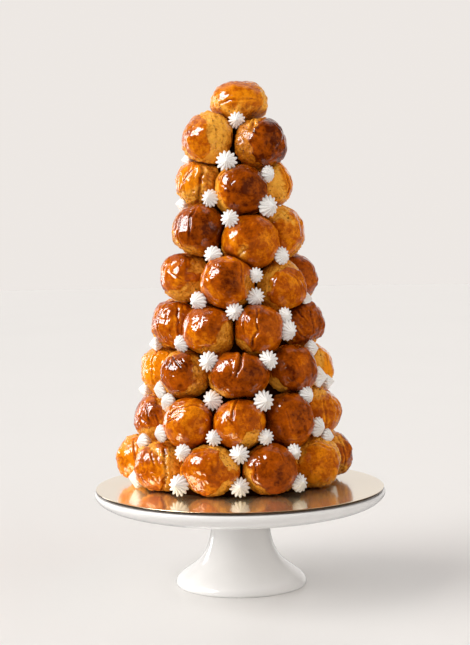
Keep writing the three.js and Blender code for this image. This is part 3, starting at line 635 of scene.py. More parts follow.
# A fold: half its width in mm and what each mm of its depth adds, how far it wanders, how high its lips are
# beside its depth, and how long its ends taper, in radians.
FOLD_WIDTH = 0.55
FOLD_WIDENING = 0.4
FOLD_WANDER = 1.6
LIP_HEIGHT = 0.4
FOLD_END = 0.12
# How wrinkled the bare crust and the cap are, and how much less or more in calm and in rough places.
BARE_CALM, CAP_CALM = 1.4, 0.5
CALM_PLACE, ROUGH_PLACE, ROUGH_EDGE = 0.4, 1.5, 0.35
BARE_GRIT, GLAZED_GRIT = 0.6, 0.2
SEAMED_EDGES = (-0.1, 0.35)
GLAZED_SEAM = 0.25
# How steep the sides of dimples and wrinkles are, and how wide the valleys between them and the seams.
DIMPLE_GAIN, WRINKLE_GAIN = 1.9, 2.2
DIMPLE_WIDTH, WRINKLE_WIDTH, SEAM_WIDTH = 0.07, 0.09, 0.07
# How much darker stains are; how much darker the valleys are, which is painted shade; how much paler the
# lips of folds and the raised grit are, which is painted light; and how much paler the whole is.
STAIN, SMALL_STAIN, STAIN_EDGE = 0.1, 0.07, 0.05
SMALL_STAIN_SHIFT = 5
DIMPLE_VALLEY, WRINKLE_VALLEY, MOST_VALLEY = 0.6, 0.3, 1.5
VALLEY_SHADE = 0.16
LIP_LIGHT = 0.22
BARE_GRIT_LIGHT, GLAZED_GRIT_LIGHT = 0.2, 0.06
WHOLE_LIGHT = 0.05
BROAD_TONE, FINE_TONE, BAKE_TONE = 0.1, 0.07, 0.1
# How much of a seam counts as a crease, which the colour darkens as painted shade.
SEAM_CREASE = 0.6


def fading(value, width):
    """1 where the value is 0, and less and less away from there, near 0 at twice the width."""
    return np.exp(-(value / width) ** 2)


def domed(value, gain):
    """Noise turned into domes with sharp valleys between them, from -0.5 up."""
    return gain * np.abs(value) - 0.5


def finish_of(puff):
    """The puff's finish from the table, or one drawn for it, and the three directions it is seen in."""
    own, index = puff.own, puff.index
    lean = [(draw(index, use) - 0.5) * GLAZE_LEAN for use in (41, 42)]
    turn = math.tau * draw(index, 43)
    bent = turn + CREASE_BEND
    crease = (CREASE_START * math.cos(turn), CREASE_START * math.sin(turn),
              -CREASE_END * math.cos(bent), -CREASE_END * math.sin(bent))
    drawn = {key: mix(*DRAWN_FINISH[key], draw(index, 44 + use)) for use, key in enumerate(DRAWN_FINISH)}
    drawn.update(glaze=[(*lean, drawn["glaze"])], folds=[(*crease, drawn["fold"])], bare=[], deep=[], rise=1,
                 edge=FRONT_EDGE if "tone" in own else DRAWN_EDGE)
    return {**drawn, **own}, FROM_FRONT if "tone" in own else puff.directions


def seen(view, x, z):
    """The direction of a spot at (x, z) of a puff that is looked at along the view's third direction."""
    right, up, front = view
    flat = x * x + z * z
    shrink = 1 if flat <= SEEN_MOST else math.sqrt(SEEN_MOST / flat)
    return unit(right * x * shrink + up * z * shrink + front * math.sqrt(max(1 - flat, 1 - SEEN_MOST)))


class Skin:
    """A puff's free surface along each direction, with the noise and the patches on it."""

    def __init__(self, puff, toward, settings):
        self.puff, self.toward = puff, toward
        self.finish, self.view = finish_of(puff)
        self.free = puff.free_reach(toward, settings.roundness, settings.roundness)
        self.spots = puff.middle + toward * self.free[:, None]
        self.ragged = 1.2 * self.noise("broad rag") + self.noise("rag") + 0.5 * self.noise("fine rag")
        self.bent = np.stack([self.noise("bend " + axis) for axis in "xyz"], axis=1)

    def noise(self, name, shift=0):
        size, salt = NOISE[name]
        return noise(self.spots / size + shift, self.puff.index * SALT_STEP + salt)

    def bent_noise(self, name):
        return self.noise(name, BENDS[name] * self.bent)

    def patches(self, patches, soft, view=None):
        """1 inside any of the patches and 0 outside, with a ragged edge that is `soft` wide each way."""
        mask = np.zeros(len(self.toward))
        rag = (EDGE_RAG + SOFT_EDGE_RAG * soft) * self.ragged
        for x, z, radius in patches:
            far = np.linalg.norm(self.toward - seen(view or self.view, x, z), axis=1) - radius
            mask = np.maximum(mask, step(soft, -soft, far + rag))
        return mask

    def caramel(self, glaze_edge, bare_edge):
        """1 where the caramel is, in the table's patches and on the front of a puff that looks sideways."""
        mask = self.patches(self.finish["glaze"], glaze_edge)
        if self.puff.out @ self.view[2] < SIDEWAYS:
            mask = np.maximum(mask, self.patches(SIDE_GLAZE, glaze_edge, self.puff.directions))
        return np.minimum(mask, 1 - self.patches(self.finish["bare"], bare_edge))

    def folds(self):
        """What the folds add to the height, and where their grooves and their lips are."""
        height, grooves, edges = np.zeros((3, len(self.toward)))
        wander = FOLD_WANDER * self.noise("fold wander")
        for x1, z1, x2, z2, depth in self.finish["folds"]:
            start, end = seen(self.view, x1, z1), seen(self.view, x2, z2)
            across, along = unit(np.cross(start, end)), unit(start + end)
            half = math.acos(np.clip(start @ end, -1, 1)) / 2
            turned = np.arctan2(self.toward @ unit(np.cross(across, along)), self.toward @ along)
            width = FOLD_WIDTH + FOLD_WIDENING * depth
            off = self.free * np.arcsin(np.clip(self.toward @ across, -1, 1)) + wander
            taper = step(half + FOLD_END, half - FOLD_END, np.abs(turned))
            groove = fading(off, width) * taper
            lips = fading(np.abs(off) - 2 * width, width) * taper
            height += depth * (LIP_HEIGHT * lips - groove)
            grooves = np.maximum(grooves, groove * min(1, depth))
            edges = np.maximum(edges, lips * min(1, depth))
        return height, grooves, edges


def crust(puff, toward, settings):
    """The fine surface of a puff along each direction, and the masks that colour it."""
    skin = Skin(puff, toward, settings)
    finish = skin.finish
    glazed = skin.caramel(finish["edge"], finish["edge"])
    cap = raised = skin.caramel(*CAP_EDGES)
    small_stains = skin.noise("small stains", SMALL_STAIN_SHIFT)
    shade = STAIN * (step(-STAIN_EDGE, STAIN_EDGE, skin.noise("stains")) - 0.5)
    shade += SMALL_STAIN * (step(-STAIN_EDGE, STAIN_EDGE, small_stains) - 0.5)
    for *patch, amount in finish["deep"]:
        spot = skin.patches([patch], DEEP_EDGE)
        shade += amount * spot
        raised = raised + DEEP_RISE * spot * (amount > 0)

    near = np.max([np.exp((toward @ way - 1) / SKIN_SPREAD) for way, _, _ in puff.touches], axis=0)
    calm = mix(BARE_CALM, CAP_CALM, cap) * finish["rugged"]
    rough_places = step(-ROUGH_EDGE, ROUGH_EDGE, skin.noise("rough places"))
    rugged = calm * mix(CALM_PLACE, ROUGH_PLACE, rough_places)
    dimples, wrinkles, grit = skin.bent_noise("dimples"), skin.bent_noise("wrinkles"), skin.noise("grit")
    seams = fading(skin.bent_noise("seams"), SEAM_WIDTH)
    seams *= step(*SEAMED_EDGES, skin.noise("seamed places")) * mix(1.0, GLAZED_SEAM, glazed)
    folded, grooves, edges = skin.folds()
    height = settings.lump_height * skin.noise("lumps") - settings.skin_depth * (1 - near)
    height += settings.dimple_height * calm * domed(dimples, DIMPLE_GAIN)
    wrinkled = domed(wrinkles, WRINKLE_GAIN) + mix(BARE_GRIT, GLAZED_GRIT, glazed) * grit
    height += settings.wrinkle_height * rugged * wrinkled
    height += settings.cap_height * finish["rise"] * raised - settings.seam_depth * seams
    reach = puff.pressed_reach(toward, skin.free + height / MM + folded, soft=settings.press_round / MM)
    gap = np.min([limit - reach * (toward @ way) for way, limit, _ in puff.touches], axis=0)

    # Painted shade in the valleys of dimples and wrinkles, and painted light on the lips of folds and on the
    # raised grit.
    valleys = DIMPLE_VALLEY * finish["rugged"] * fading(dimples, DIMPLE_WIDTH)
    valleys += WRINKLE_VALLEY * rugged * fading(wrinkles, WRINKLE_WIDTH)
    shade += VALLEY_SHADE * np.minimum(valleys, MOST_VALLEY) - LIP_LIGHT * edges
    shade -= mix(BARE_GRIT_LIGHT, GLAZED_GRIT_LIGHT, glazed) * grit + WHOLE_LIGHT
    tone = BROAD_TONE * skin.noise("broad tone") + FINE_TONE * skin.noise("fine tone")
    return reach, {
        "caramel": glazed,
        "tone": finish["tone"] + shade + tone,
        "bake": finish["bake"] + shade + BAKE_TONE * skin.noise("bake"),
        # crease marks the seams and fold grooves, which the colour darkens as painted shade.
        "crease": np.maximum(SEAM_CREASE * seams, grooves),
        # joint: darker and without gloss where two puffs touch, partly glue caramel and partly painted shade
        # in the gaps.
        "joint": np.exp(-np.maximum(gap, 0) * MM / settings.joint_width),
    }


# ---------------------------------------------------------------- material helpers
def new_material(name):
    material = bpy.data.materials.new(name)
    material.use_nodes = True
    material.node_tree.nodes.clear()
    return material, material.node_tree


def add_node(tree, kind, inputs=None, **settings):
    """A node of one kind with its settings, and its inputs set to a value or linked to a socket."""
    node = tree.nodes.new(kind)
    for key, value in settings.items():
        setattr(node, key, value)
    for key, value in (inputs or {}).items():
        if isinstance(value, bpy.types.NodeSocket):
            tree.links.new(value, node.inputs[key])
        else:
            node.inputs[key].default_value = value
    return node


def calculate(tree, operation, first, second=0.0, third=0.0):
    inputs = {0: first, 1: second, 2: third}
    return add_node(tree, "ShaderNodeMath", inputs, operation=operation).outputs[0]


def blend_colors(tree, part, first, second):
    inputs = {0: part, 6: opaque(first), 7: opaque(second)}
    return add_node(tree, "ShaderNodeMix", inputs, data_type="RGBA").outputs[2]


def opaque(color):
    """A socket as it is, and a plain colour with its alpha."""
    return color if isinstance(color, bpy.types.NodeSocket) else (*color, 1)


def between(tree, value, low, high, new_low=0.0, new_high=1.0, smooth=True):
    """A value taken from one range to another, and held inside it."""
    kind = "SMOOTHSTEP" if smooth else "LINEAR"
    inputs = {"Value": value, "From Min": low, "From Max": high, "To Min": new_low, "To Max": new_high}
    return add_node(tree, "ShaderNodeMapRange", inputs, interpolation_type=kind).outputs["Result"]


def mix_by(tree, part, low, high):
    return between(tree, part, 0.0, 1.0, low, high, smooth=False)


def ramp(tree, value, steps):
    """A colour that runs through the steps (value, colour)."""
    color = steps[0][1]
    for (low, _), (high, shade) in zip(steps, steps[1:]):
        color = blend_colors(tree, between(tree, value, low, high, smooth=False), color, shade)
    return color


def roughen(tree, strength, depth, height):
    """The normal of a surface with a bump `depth` metres deep."""
    inputs = {"Strength": strength, "Distance": depth, "Height": height}
    return add_node(tree, "ShaderNodeBump", inputs).outputs[0]


def surface(tree, inputs):
    """The material's shader and its output."""
    shader = add_node(tree, "ShaderNodeBsdfPrincipled", inputs)
    add_node(tree, "ShaderNodeOutputMaterial", {"Surface": shader.outputs[0]})


def new_group(name, inputs, outputs):
    """A shader node group with number inputs (name, default) and named number outputs."""
    group = bpy.data.node_groups.new(name, "ShaderNodeTree")
    for label, default in inputs:
        socket = group.interface.new_socket(name=label, in_out="INPUT", socket_type="NodeSocketFloat")
        socket.default_value = default
    for label in outputs:
        group.interface.new_socket(name=label, in_out="OUTPUT", socket_type="NodeSocketFloat")
    return group, group.nodes.new("NodeGroupInput"), group.nodes.new("NodeGroupOutput")


def mottle_group():
    """Soft uneven patches and a finer grain in them, from 0 to 1, over the object's own space."""
    if "Mottle" in bpy.data.node_groups:
        return bpy.data.node_groups["Mottle"]
    inputs = [("Patch Size", 0.01), ("Roughness", 0.55)]
    group, given, made = new_group("Mottle", inputs, ["Patches", "Grain"])
    place = group.nodes.new("ShaderNodeTexCoord").outputs["Object"]
    scale = calculate(group, "DIVIDE", 1.0, given.outputs["Patch Size"])
    patches = add_node(group, "ShaderNodeTexNoise", {"Vector": place, "Scale": scale, "Detail": 3.0,
                                                     "Roughness": given.outputs["Roughness"]})
    fine = calculate(group, "MULTIPLY", scale, 7.0)
    grain = add_node(group, "ShaderNodeTexNoise", {"Vector": place, "Scale": fine, "Detail": 2.0})
    group.links.new(patches.outputs["Fac"], made.inputs["Patches"])
    group.links.new(grain.outputs["Fac"], made.inputs["Grain"])
    return group


def pores_group():
    """Small pits: 1 in the middle of a pit and 0 between them. Only some of the cells have one."""
    if "Pores" in bpy.data.node_groups:
        return bpy.data.node_groups["Pores"]
    inputs = [("Spacing", 0.003), ("Pit Size", 0.25), ("Share", 0.4)]
    group, given, made = new_group("Pores", inputs, ["Pits"])
    place = group.nodes.new("ShaderNodeTexCoord").outputs["Object"]
    scale = calculate(group, "DIVIDE", 1.0, given.outputs["Spacing"])
    cells = add_node(group, "ShaderNodeTexVoronoi", {"Vector": place, "Scale": scale})
    shade = add_node(group, "ShaderNodeSeparateColor", {0: cells.outputs["Color"]}).outputs[0]
    chosen = calculate(group, "LESS_THAN", shade, given.outputs["Share"])
    size = calculate(group, "MULTIPLY", given.outputs["Pit Size"], shade)
    size = calculate(group, "ADD", size, calculate(group, "MULTIPLY", given.outputs["Pit Size"], 0.6))
    inside = calculate(group, "DIVIDE", cells.outputs["Distance"], size)
    pit = between(group, inside, 1.0, 0.4)
    group.links.new(calculate(group, "MULTIPLY", pit, chosen), made.inputs["Pits"])
    return group


def place_group(tree, group, **values):
    """The group in a material, with its own value for each input."""
    node = tree.nodes.new("ShaderNodeGroup")
    node.node_tree = group
    for key, value in values.items():
        node.inputs[key.replace("_", " ")].default_value = value
    return node


def attribute(tree, name):
    return add_node(tree, "ShaderNodeAttribute", attribute_name=name).outputs["Fac"]


# ---------------------------------------------------------------- materials
def choux_material(settings):
    """Baked crust, from pale gold to brown with pits, and caramel over it, from amber to mahogany."""
    material, tree = new_material("choux")
    caramel, crease = attribute(tree, "caramel"), attribute(tree, "crease")
    soft = place_group(tree, mottle_group(), Patch_Size=0.005, Roughness=0.65)
    broad = place_group(tree, mottle_group(), Patch_Size=0.012, Roughness=0.55)
    fine = place_group(tree, mottle_group(), Patch_Size=0.0024, Roughness=0.6)
    pits = place_group(tree, pores_group(), Spacing=0.0029, Pit_Size=0.31, Share=0.75).outputs["Pits"]
    specks = place_group(tree, pores_group(), Spacing=0.0017, Pit_Size=0.24, Share=0.3).outputs["Pits"]

    # Where the caramel is, with a ragged edge.
    ragged = calculate(tree, "MULTIPLY_ADD", soft.outputs["Patches"], 0.6, -0.3)
    coated = between(tree, calculate(tree, "ADD", caramel, ragged), 0.1, 0.9)
    bare = calculate(tree, "SUBTRACT", 1.0, coated)

    # How dark it is: what the mesh says, with patches, crumbs, flecks and islands, and dark joints where two
    # puffs touch, partly the caramel that glues them and partly painted shade in the gaps.
    patches = calculate(tree, "ADD", broad.outputs["Patches"], soft.outputs["Patches"])
    patches = calculate(tree, "MULTIPLY", calculate(tree, "SUBTRACT", patches, 1.0), 0.35)
    crumb = calculate(tree, "SUBTRACT", fine.outputs["Patches"], 0.5)
    patches = calculate(tree, "MULTIPLY_ADD", crumb, mix_by(tree, coated, 0.75, 0.3), patches)
    depth = mix_by(tree, coated, attribute(tree, "bake"), attribute(tree, "tone"))
    depth = calculate(tree, "ADD", depth, patches)
    flecks = between(tree, fine.outputs["Patches"], 0.55, 0.6)
    depth = calculate(tree, "MULTIPLY_ADD", flecks, mix_by(tree, coated, 0.1, 0.05), depth)
    islands = between(tree, soft.outputs["Patches"], 0.5, 0.53)
    depth = calculate(tree, "MULTIPLY_ADD", islands, 0.1, calculate(tree, "SUBTRACT", depth, 0.06))
    # Darker in the creases, seams and fold grooves: painted shade.
    depth = calculate(tree, "MULTIPLY_ADD", crease, 0.3, depth)
    depth = calculate(tree, "MULTIPLY_ADD", attribute(tree, "joint"), 0.6, depth)

    # The colours, with dark specks everywhere and crowds of open pits on the bare crust, whose dark bottoms
    # are painted shade.
    crust_color = ramp(tree, depth, ((0.0, settings.pale_crust), (0.45, settings.golden_crust),
                                     (1.0, settings.brown_crust)))
    caramel_color = ramp(tree, depth, ((0.0, settings.light_caramel), (0.45, settings.amber_caramel),
                                       (1.0, settings.dark_caramel)))
    color = blend_colors(tree, coated, crust_color, caramel_color)
    marks = calculate(tree, "MULTIPLY", specks, mix_by(tree, coated, 0.28, 0.16))
    crowded = between(tree, broad.outputs["Patches"], 0.47, 0.56, 0.0, 0.8)
    crowded = calculate(tree, "MAXIMUM", crowded, crease)
    open_pits = calculate(tree, "MULTIPLY", pits, calculate(tree, "MULTIPLY", bare, crowded))
    color = blend_colors(tree, calculate(tree, "MAXIMUM", marks, open_pits), color, settings.speck_and_pit_shade_color)

    # The caramel is smooth and glossy, the crust is grainy, and the joints have no gloss, which keeps the
    # gaps dark as painted shade.
    open_gap = calculate(tree, "SUBTRACT", 1.0, attribute(tree, "joint"))
    rough = mix_by(tree, coated, settings.crust_roughness, settings.caramel_roughness)
    rough = calculate(tree, "MULTIPLY_ADD", soft.outputs["Grain"], 0.08, rough)
    grain = calculate(tree, "MULTIPLY", fine.outputs["Patches"], mix_by(tree, coated, 1.7, 0.3))
    height = calculate(tree, "MULTIPLY_ADD", open_pits, -1.6, grain)
    height = calculate(tree, "MULTIPLY_ADD", marks, -0.4, height)
    surface(tree, {
        "Base Color": color, "Roughness": rough, "Normal": roughen(tree, 0.8, 0.0006, height),
        "IOR": 1.45, "Specular IOR Level": 0.15,
        "Coat Weight": calculate(tree, "MULTIPLY", mix_by(tree, coated, 0.5, 0.85), open_gap),
        "Coat Roughness": 0.05, "Coat IOR": 1.5,
        "Subsurface Weight": 0.05, "Subsurface Radius": (0.004, 0.0015, 0.0005), "Subsurface Scale": 1.0,
    })
    return material


def cream_material(settings):
    """Whipped cream: soft white, a little see-through, with a fine grain."""
    material, tree = new_material("cream")
    grain = place_group(tree, mottle_group(), Patch_Size=0.004, Roughness=0.5)
    color = blend_colors(tree, grain.outputs["Patches"], settings.shade_color, settings.color)
    surface(tree, {
        "Base Color": color, "Roughness": 0.48,
        "Normal": roughen(tree, 0.25, 0.0002, grain.outputs["Grain"]),
        "Subsurface Weight": 0.1, "Subsurface Radius": (0.002, 0.0018, 0.0015), "Subsurface Scale": 1.0,
    })
    return material


def shade_core_material(settings):
    """Near-black matt body with darker patches: painted shade seen through the gaps between the puffs."""
    material, tree = new_material("caramel_core")
    cloud = place_group(tree, mottle_group(), Patch_Size=0.01, Roughness=0.5)
    color = blend_colors(tree, cloud.outputs["Patches"], settings.color, settings.dark_color)
    surface(tree, {"Base Color": color, "Roughness": 1.0, "Specular IOR Level": 0.0})
    return material


def foil_material(settings):
    """Gold foil on card: almost a mirror, a little cloudy, with faint pressed unevenness."""
    material, tree = new_material("gold_foil")
    cloud = place_group(tree, mottle_group(), Patch_Size=0.03, Roughness=0.6)
    patches = cloud.outputs["Patches"]
    color = blend_colors(tree, patches, settings.foil_color, settings.foil_shade)
    # The cut side takes the dark card colour: the card itself, darkened as painted shade for the dark line
    # under the board's edge.
    color = blend_colors(tree, attribute(tree, "side"), color, settings.card_shade_color)
    rough = between(tree, patches, 0.3, 0.7, settings.foil_roughness - 0.015, settings.foil_roughness + 0.02)
    surface(tree, {
        "Base Color": color, "Metallic": 0.8, "Roughness": rough,
        "Normal": roughen(tree, 0.06, 0.0004, patches),
        "Coat Weight": 1.0, "Coat Roughness": 0.08, "Coat IOR": 1.9,
    })
    return material


def glaze_material(settings):
    """White stoneware under a clear glaze, with a trace of warmth and waviness."""
    material, tree = new_material("white_glaze")
    cloud = place_group(tree, mottle_group(), Patch_Size=0.05, Roughness=0.5)
    patches = cloud.outputs["Patches"]
    color = blend_colors(tree, patches, settings.glaze_color, settings.glaze_shade)
    surface(tree, {
        "Base Color": color, "Roughness": between(tree, cloud.outputs["Grain"], 0.3, 0.7, 0.1, 0.16),
        "Normal": roughen(tree, 0.06, 0.001, patches), "Coat Weight": 0.6, "Coat Roughness": 0.04,
    })
    return material


# ---------------------------------------------------------------- settings
def number_property(name, description, default, **limits):
    return FloatProperty(name=name, description=description, default=default, **limits)


def color_property(name, description, default):
    return FloatVectorProperty(name=name, description=description, default=default, subtype="COLOR",
                               min=0, max=1)


def length_property(name, description, default):
    return number_property(name, description, default, unit="LENGTH", precision=5)


def angle_property(name, description, degrees):
    return number_property(name, description, math.radians(degrees), subtype="ANGLE")


def direction_property(name, description, default):
    return FloatVectorProperty(name=name, description=description, default=default, subtype="DIRECTION")


def count_property(name, description, default, low, high):
    return IntProperty(name=name, description=description, default=default, min=low, max=high)


class ChouxSettings(PropertyGroup):
    pale_crust: color_property("Pale crust", "Crust where it is least baked", (0.96, 0.43, 0.045))
    golden_crust: color_property("Golden crust", "Crust where it is well baked", (0.60, 0.19, 0.008))
    brown_crust: color_property("Brown crust", "Crust where it is most baked", (0.22, 0.045, 0.001))
    light_caramel: color_property("Light caramel", "Caramel where it is thinnest", (0.93, 0.295, 0.004))
    amber_caramel: color_property("Amber caramel", "Caramel of middling depth", (0.46, 0.086, 0.0005))
    dark_caramel: color_property("Dark caramel", "Caramel where it is deepest", (0.095, 0.0115, 0.0001))
    # The dark bottoms of the pits are painted shade; the specks take the same colour.
    speck_and_pit_shade_color: color_property("Pores", "Bottom of the small pits", (0.12, 0.025, 0.001))
    crust_roughness: number_property("Crust roughness", "Roughness of the bare crust", 0.24, min=0, max=1)
    caramel_roughness: number_property("Caramel roughness", "Roughness of the caramel", 0.1, min=0, max=1)
    skin_depth: length_property("Skin", "How far the plain crust lies under the solid", 0.0007)
    lump_height: length_property("Lumps", "Height of the crust's broad lumps", 0.0015)
    dimple_height: length_property("Dimples", "Height of the dimples between them", 0.0009)
    wrinkle_height: length_property("Wrinkles", "Height of the fine wrinkles", 0.0004)
    seam_depth: length_property("Seams", "Depth of the fine seams that wander over the crust", 0.0006)
    cap_height: length_property("Cap", "How far the glazed cap stands over the crust", 0.0008)
    roundness: number_property("Roundness", "2 for a round puff, more for a squarer one", 2.08,
                               min=1.8, max=4)
    press_round: length_property("Pressed edge", "Rounding of the edge where two puffs are pressed together",
                                 0.0024)
    # The joints are partly the caramel that glues the puffs and partly painted shade in the gaps between
    # them.
    joint_width: length_property("Joint", "How far caramel spreads from where two puffs touch", 0.0013)
    cells: count_property("Mesh cells", "Squares along an edge of the puff's net", 34, 6, 60)
    back_cells: count_property("Mesh cells behind", "The same for the puffs of the back half", 30, 6, 60)
    crowding: number_property("Crowding", "How much finer the cap's mesh is than the base's", 0.45,
                              min=0, max=0.6)


# Settings of the near-black body inside the cone, which is painted shade seen through the gaps between the
# puffs.
class ShadeCoreSettings(PropertyGroup):
    depth: length_property("Depth", "How far the caramel lies behind the middles of the puffs", 0.007)
    height: length_property("Height", "Height of the caramel over the board", 0.318)
    color: color_property("Caramel", "Colour of the caramel inside", (0.025, 0.006, 0.001))
    dark_color: color_property("Dark caramel", "Colour of its darker patches", (0.01, 0.002, 0.0))


class CreamSettings(PropertyGroup):
    color: color_property("Cream", "Colour of the cream", (0.94, 0.92, 0.89))
    shade_color: color_property("Cream shade", "Colour of its duller patches", (0.90, 0.88, 0.85))
    ridges: count_property("Ridges", "Ridges round a star", 13, 5, 24)
    valley: number_property("Valley", "Radius between two ridges, as a share of the star's", 0.73,
                            min=0.3, max=1)
    spread: number_property("Spread", "How far the ridges reach at most, beside the solid star's", 1.1,
                            min=0.8, max=2)
    least_spread: number_property("Least spread", "The same where a puff is close", 0.85, min=0.5, max=1.5)
    sunk: length_property("Sunk", "How deep the ridges sink into a puff", 0.0012)
    swirl: angle_property("Swirl", "Turn of the ridges from the base to the tip", 14)


class BoardSettings(PropertyGroup):
    foil_color: color_property("Foil", "Colour of the gold foil", (0.93, 0.76, 0.48))
    foil_shade: color_property("Foil shade", "Colour of its duller patches", (0.90, 0.71, 0.42))
    foil_roughness: number_property("Foil roughness", "How cloudy the mirror is", 0.21, min=0, max=1)
    # The card colour of the cut side is darkened as painted shade for the line under the board's edge.
    card_shade_color: color_property("Card", "Colour of the board's cut side", (0.16, 0.09, 0.045))
    edge_round: length_property("Rounding", "Radius of the board's pressed edge", 0.0005)


class StandSettings(PropertyGroup):
    glaze_color: color_property("Glaze", "Colour of the white glaze", (0.88, 0.87, 0.86))
    glaze_shade: color_property("Glaze shade", "Colour of its duller patches", (0.84, 0.83, 0.815))
    sides: count_property("Sides", "Flats round the stand", 160, 24, 400)


class StageSettings(PropertyGroup):
    camera_place: FloatVectorProperty(name="Camera", description="Where the camera stands", unit="LENGTH",
                                      default=(-0.0009, -1.317, 0.321))
    pitch: angle_property("Pitch", "How far the camera looks down", 3.89)
    roll: angle_property("Roll", "How far the camera leans", 0.85)
    focal_length: number_property("Focal length", "Of the lens, for a 36 mm long side", 83.8, unit="CAMERA")
    window_from: direction_property("Window from", "Where the window's panes are", (-0.76, -0.30, 0.58))
    window_power: number_property("Window", "Power of the window's panes together", 46.0, unit="POWER")
    rim_from: direction_property("Rim from", "Where the strip behind the cone is", (-0.76, 0.62, 0.12))
    rim_power: number_property("Rim", "Power of the strip behind the cone", 5.0, unit="POWER")
    daylight_from: direction_property("Daylight from", "Where the soft daylight comes from",
                                      (-0.85, -0.15, 0.50))
    daylight: number_property("Daylight", "Strength of the soft daylight", 3.1)
    daylight_angle: angle_property("Daylight angle", "How wide the soft daylight is", 60)
    daylight_color: color_property("Daylight colour", "Colour of the soft daylight", (1.0, 0.98, 0.95))
    fill_from: direction_property("Fill from", "Where the soft light from the right comes from",
                                  (0.93, -0.32, 0.15))
    fill: number_property("Fill", "Strength of the soft light from the right", 1.2)
    fill_angle: angle_property("Fill angle", "How wide the soft light from the right is", 90)
    fill_color: color_property("Fill colour", "Colour of the soft light from the right", (1.0, 0.96, 0.92))
    sky: number_property("Room", "Brightness of the pale room all round", 0.55)
    backdrop: number_property("Backdrop", "Brightness of the room as it is seen", 0.85)
    mirrored_room: number_property("Room in reflections", "Brightness of the room's front in gloss", 0.012)
    ceiling: number_property("Ceiling in reflections", "Brightness of the ceiling in gloss", 0.6)
    mirrored_floor: number_property("Floor in reflections", "Brightness of the floor in gloss", 0.5)
    side_wall: number_property("Wall in reflections", "Brightness of the wall at the right in gloss", 0.17)
    room_color: color_property("Room colour", "Colour of the room's light", (1.0, 0.965, 0.94))
    wall_color: color_property("Wall colour", "Colour of the wall at the right in gloss", (1.0, 0.75, 0.45))
    backdrop_color: color_property("Backdrop colour", "Colour of the room as it is seen", (1.0, 0.95, 0.91))
    floor_color: color_property("Floor", "Colour of the plain floor", (0.80, 0.785, 0.77))


# ---------------------------------------------------------------- operators
FOOT_START = (0, FOOT_RECESS_DEPTH)
STAND_CURVES = (
    (1, (FOOT_RECESS_RADIUS - 1, FOOT_RECESS_DEPTH)),
    (1, (FOOT_RECESS_RADIUS, 0)),
    (1, (FOOT_RADIUS - 1.5, 0)),
    (5, (FOOT_RADIUS, 0), (FOOT_RADIUS, 2)),
    (6, (FOOT_RADIUS - 0.6, 5.5), (FOOT_RADIUS - 3.5, 8)),
    (22, (47, 15.5), (STEM_RADIUS + 3.5, 20), (STEM_RADIUS + 0.8, 48)),
    (5, (STEM_RADIUS, 56), (STEM_RADIUS, 62)),
    (10, (STEM_RADIUS + 1, 67), (STEM_RADIUS + 14, 67.5)),
    (1, (80, 68.3)),
    (1, (104, 69)),
    (4, (106, 69.2), (107.5, 70.5)),
    (14, (122, 72), (PLATE_RADIUS - 0.8, 80)),
    (8, (PLATE_RADIUS + 0.6, 83.2), (PLATE_RADIUS - 1.6, 84.25)),
    (4, (PLATE_RADIUS - 3.5, 84.4), (PLATE_RADIUS - 5, PLATE_TOP)),
    (1, (60, PLATE_TOP)),
    (1, (0, PLATE_TOP)),
)


class CROQUEMBOUCHE_OT_stand(Operator):
    """Turns the white footed cake stand"""
    bl_idname = "croquembouche.stand"
    bl_label = "Cake Stand"

    def execute(self, context):
        settings = context.scene.croquembouche_stand
        points, faces = lathe(trace(FOOT_START, STAND_CURVES), settings.sides)
        stand = add_piece("stand_glazed", points, faces, glaze_material(settings))
        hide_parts("cake_stand")
        return {"FINISHED"}


class CROQUEMBOUCHE_OT_board(Operator):
    """Cuts the gold foil cake board with its pressed edge"""
    bl_idname = "croquembouche.board"
    bl_label = "Cake Board"

    def execute(self, context):
        settings = context.scene.croquembouche_board
        edge = settings.edge_round / MM
        outline = trace((0, BOARD_LOW), (
            (1, (BOARD_RADIUS - edge, BOARD_LOW)),
            (4, (BOARD_RADIUS, BOARD_LOW), (BOARD_RADIUS, BOARD_LOW + edge)),
            (1, (BOARD_RADIUS, BOARD_TOP - edge)),
            (4, (BOARD_RADIUS, BOARD_TOP), (BOARD_RADIUS - edge, BOARD_TOP)),
            (1, (BOARD_RADIUS - 3, BOARD_TOP)),
            (1, (BOARD_RADIUS / 2, BOARD_TOP)),
            (1, (0, BOARD_TOP)),
        ))
        points, faces = lathe(outline, context.scene.croquembouche_stand.sides)
        # The side, which the foil colours dark: the cut card, darkened as painted shade for the line under
        # the board's edge.
        side = [1.0 if z < BOARD_TOP - edge / 2 else 0.0 for x, y, z in points]
        board = add_piece("board_foil", points, faces, foil_material(settings), {"side": side})
        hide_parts("cake_board")
        return {"FINISHED"}


class CROQUEMBOUCHE_OT_puffs(Operator):
    """Bakes and glazes every puff of the cone"""
    bl_idname = "croquembouche.puffs"
    bl_label = "Choux Puffs"

    def execute(self, context):
        settings = context.scene.croquembouche_puffs
        material = choux_material(settings)
        nets = {}
        for cells in (settings.cells, settings.back_cells):
            directions, faces = sphere_net(cells)
            nets[cells] = crowd_to_cap(directions, settings.crowding), faces
        for puff in PUFF_LIST:
            directions, faces = nets[settings.cells if "tone" in puff.own else settings.back_cells]
            toward = directions @ np.array(puff.directions)
            reach, masks = crust(puff, toward, settings)
            points = puff.middle + toward * reach[:, None]
            piece = add_piece("baked_" + puff.name, points, faces, material, masks)
            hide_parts(puff.name)
        return {"FINISHED"}


CORE_LEVELS = 30
CORE_SIDES = 48


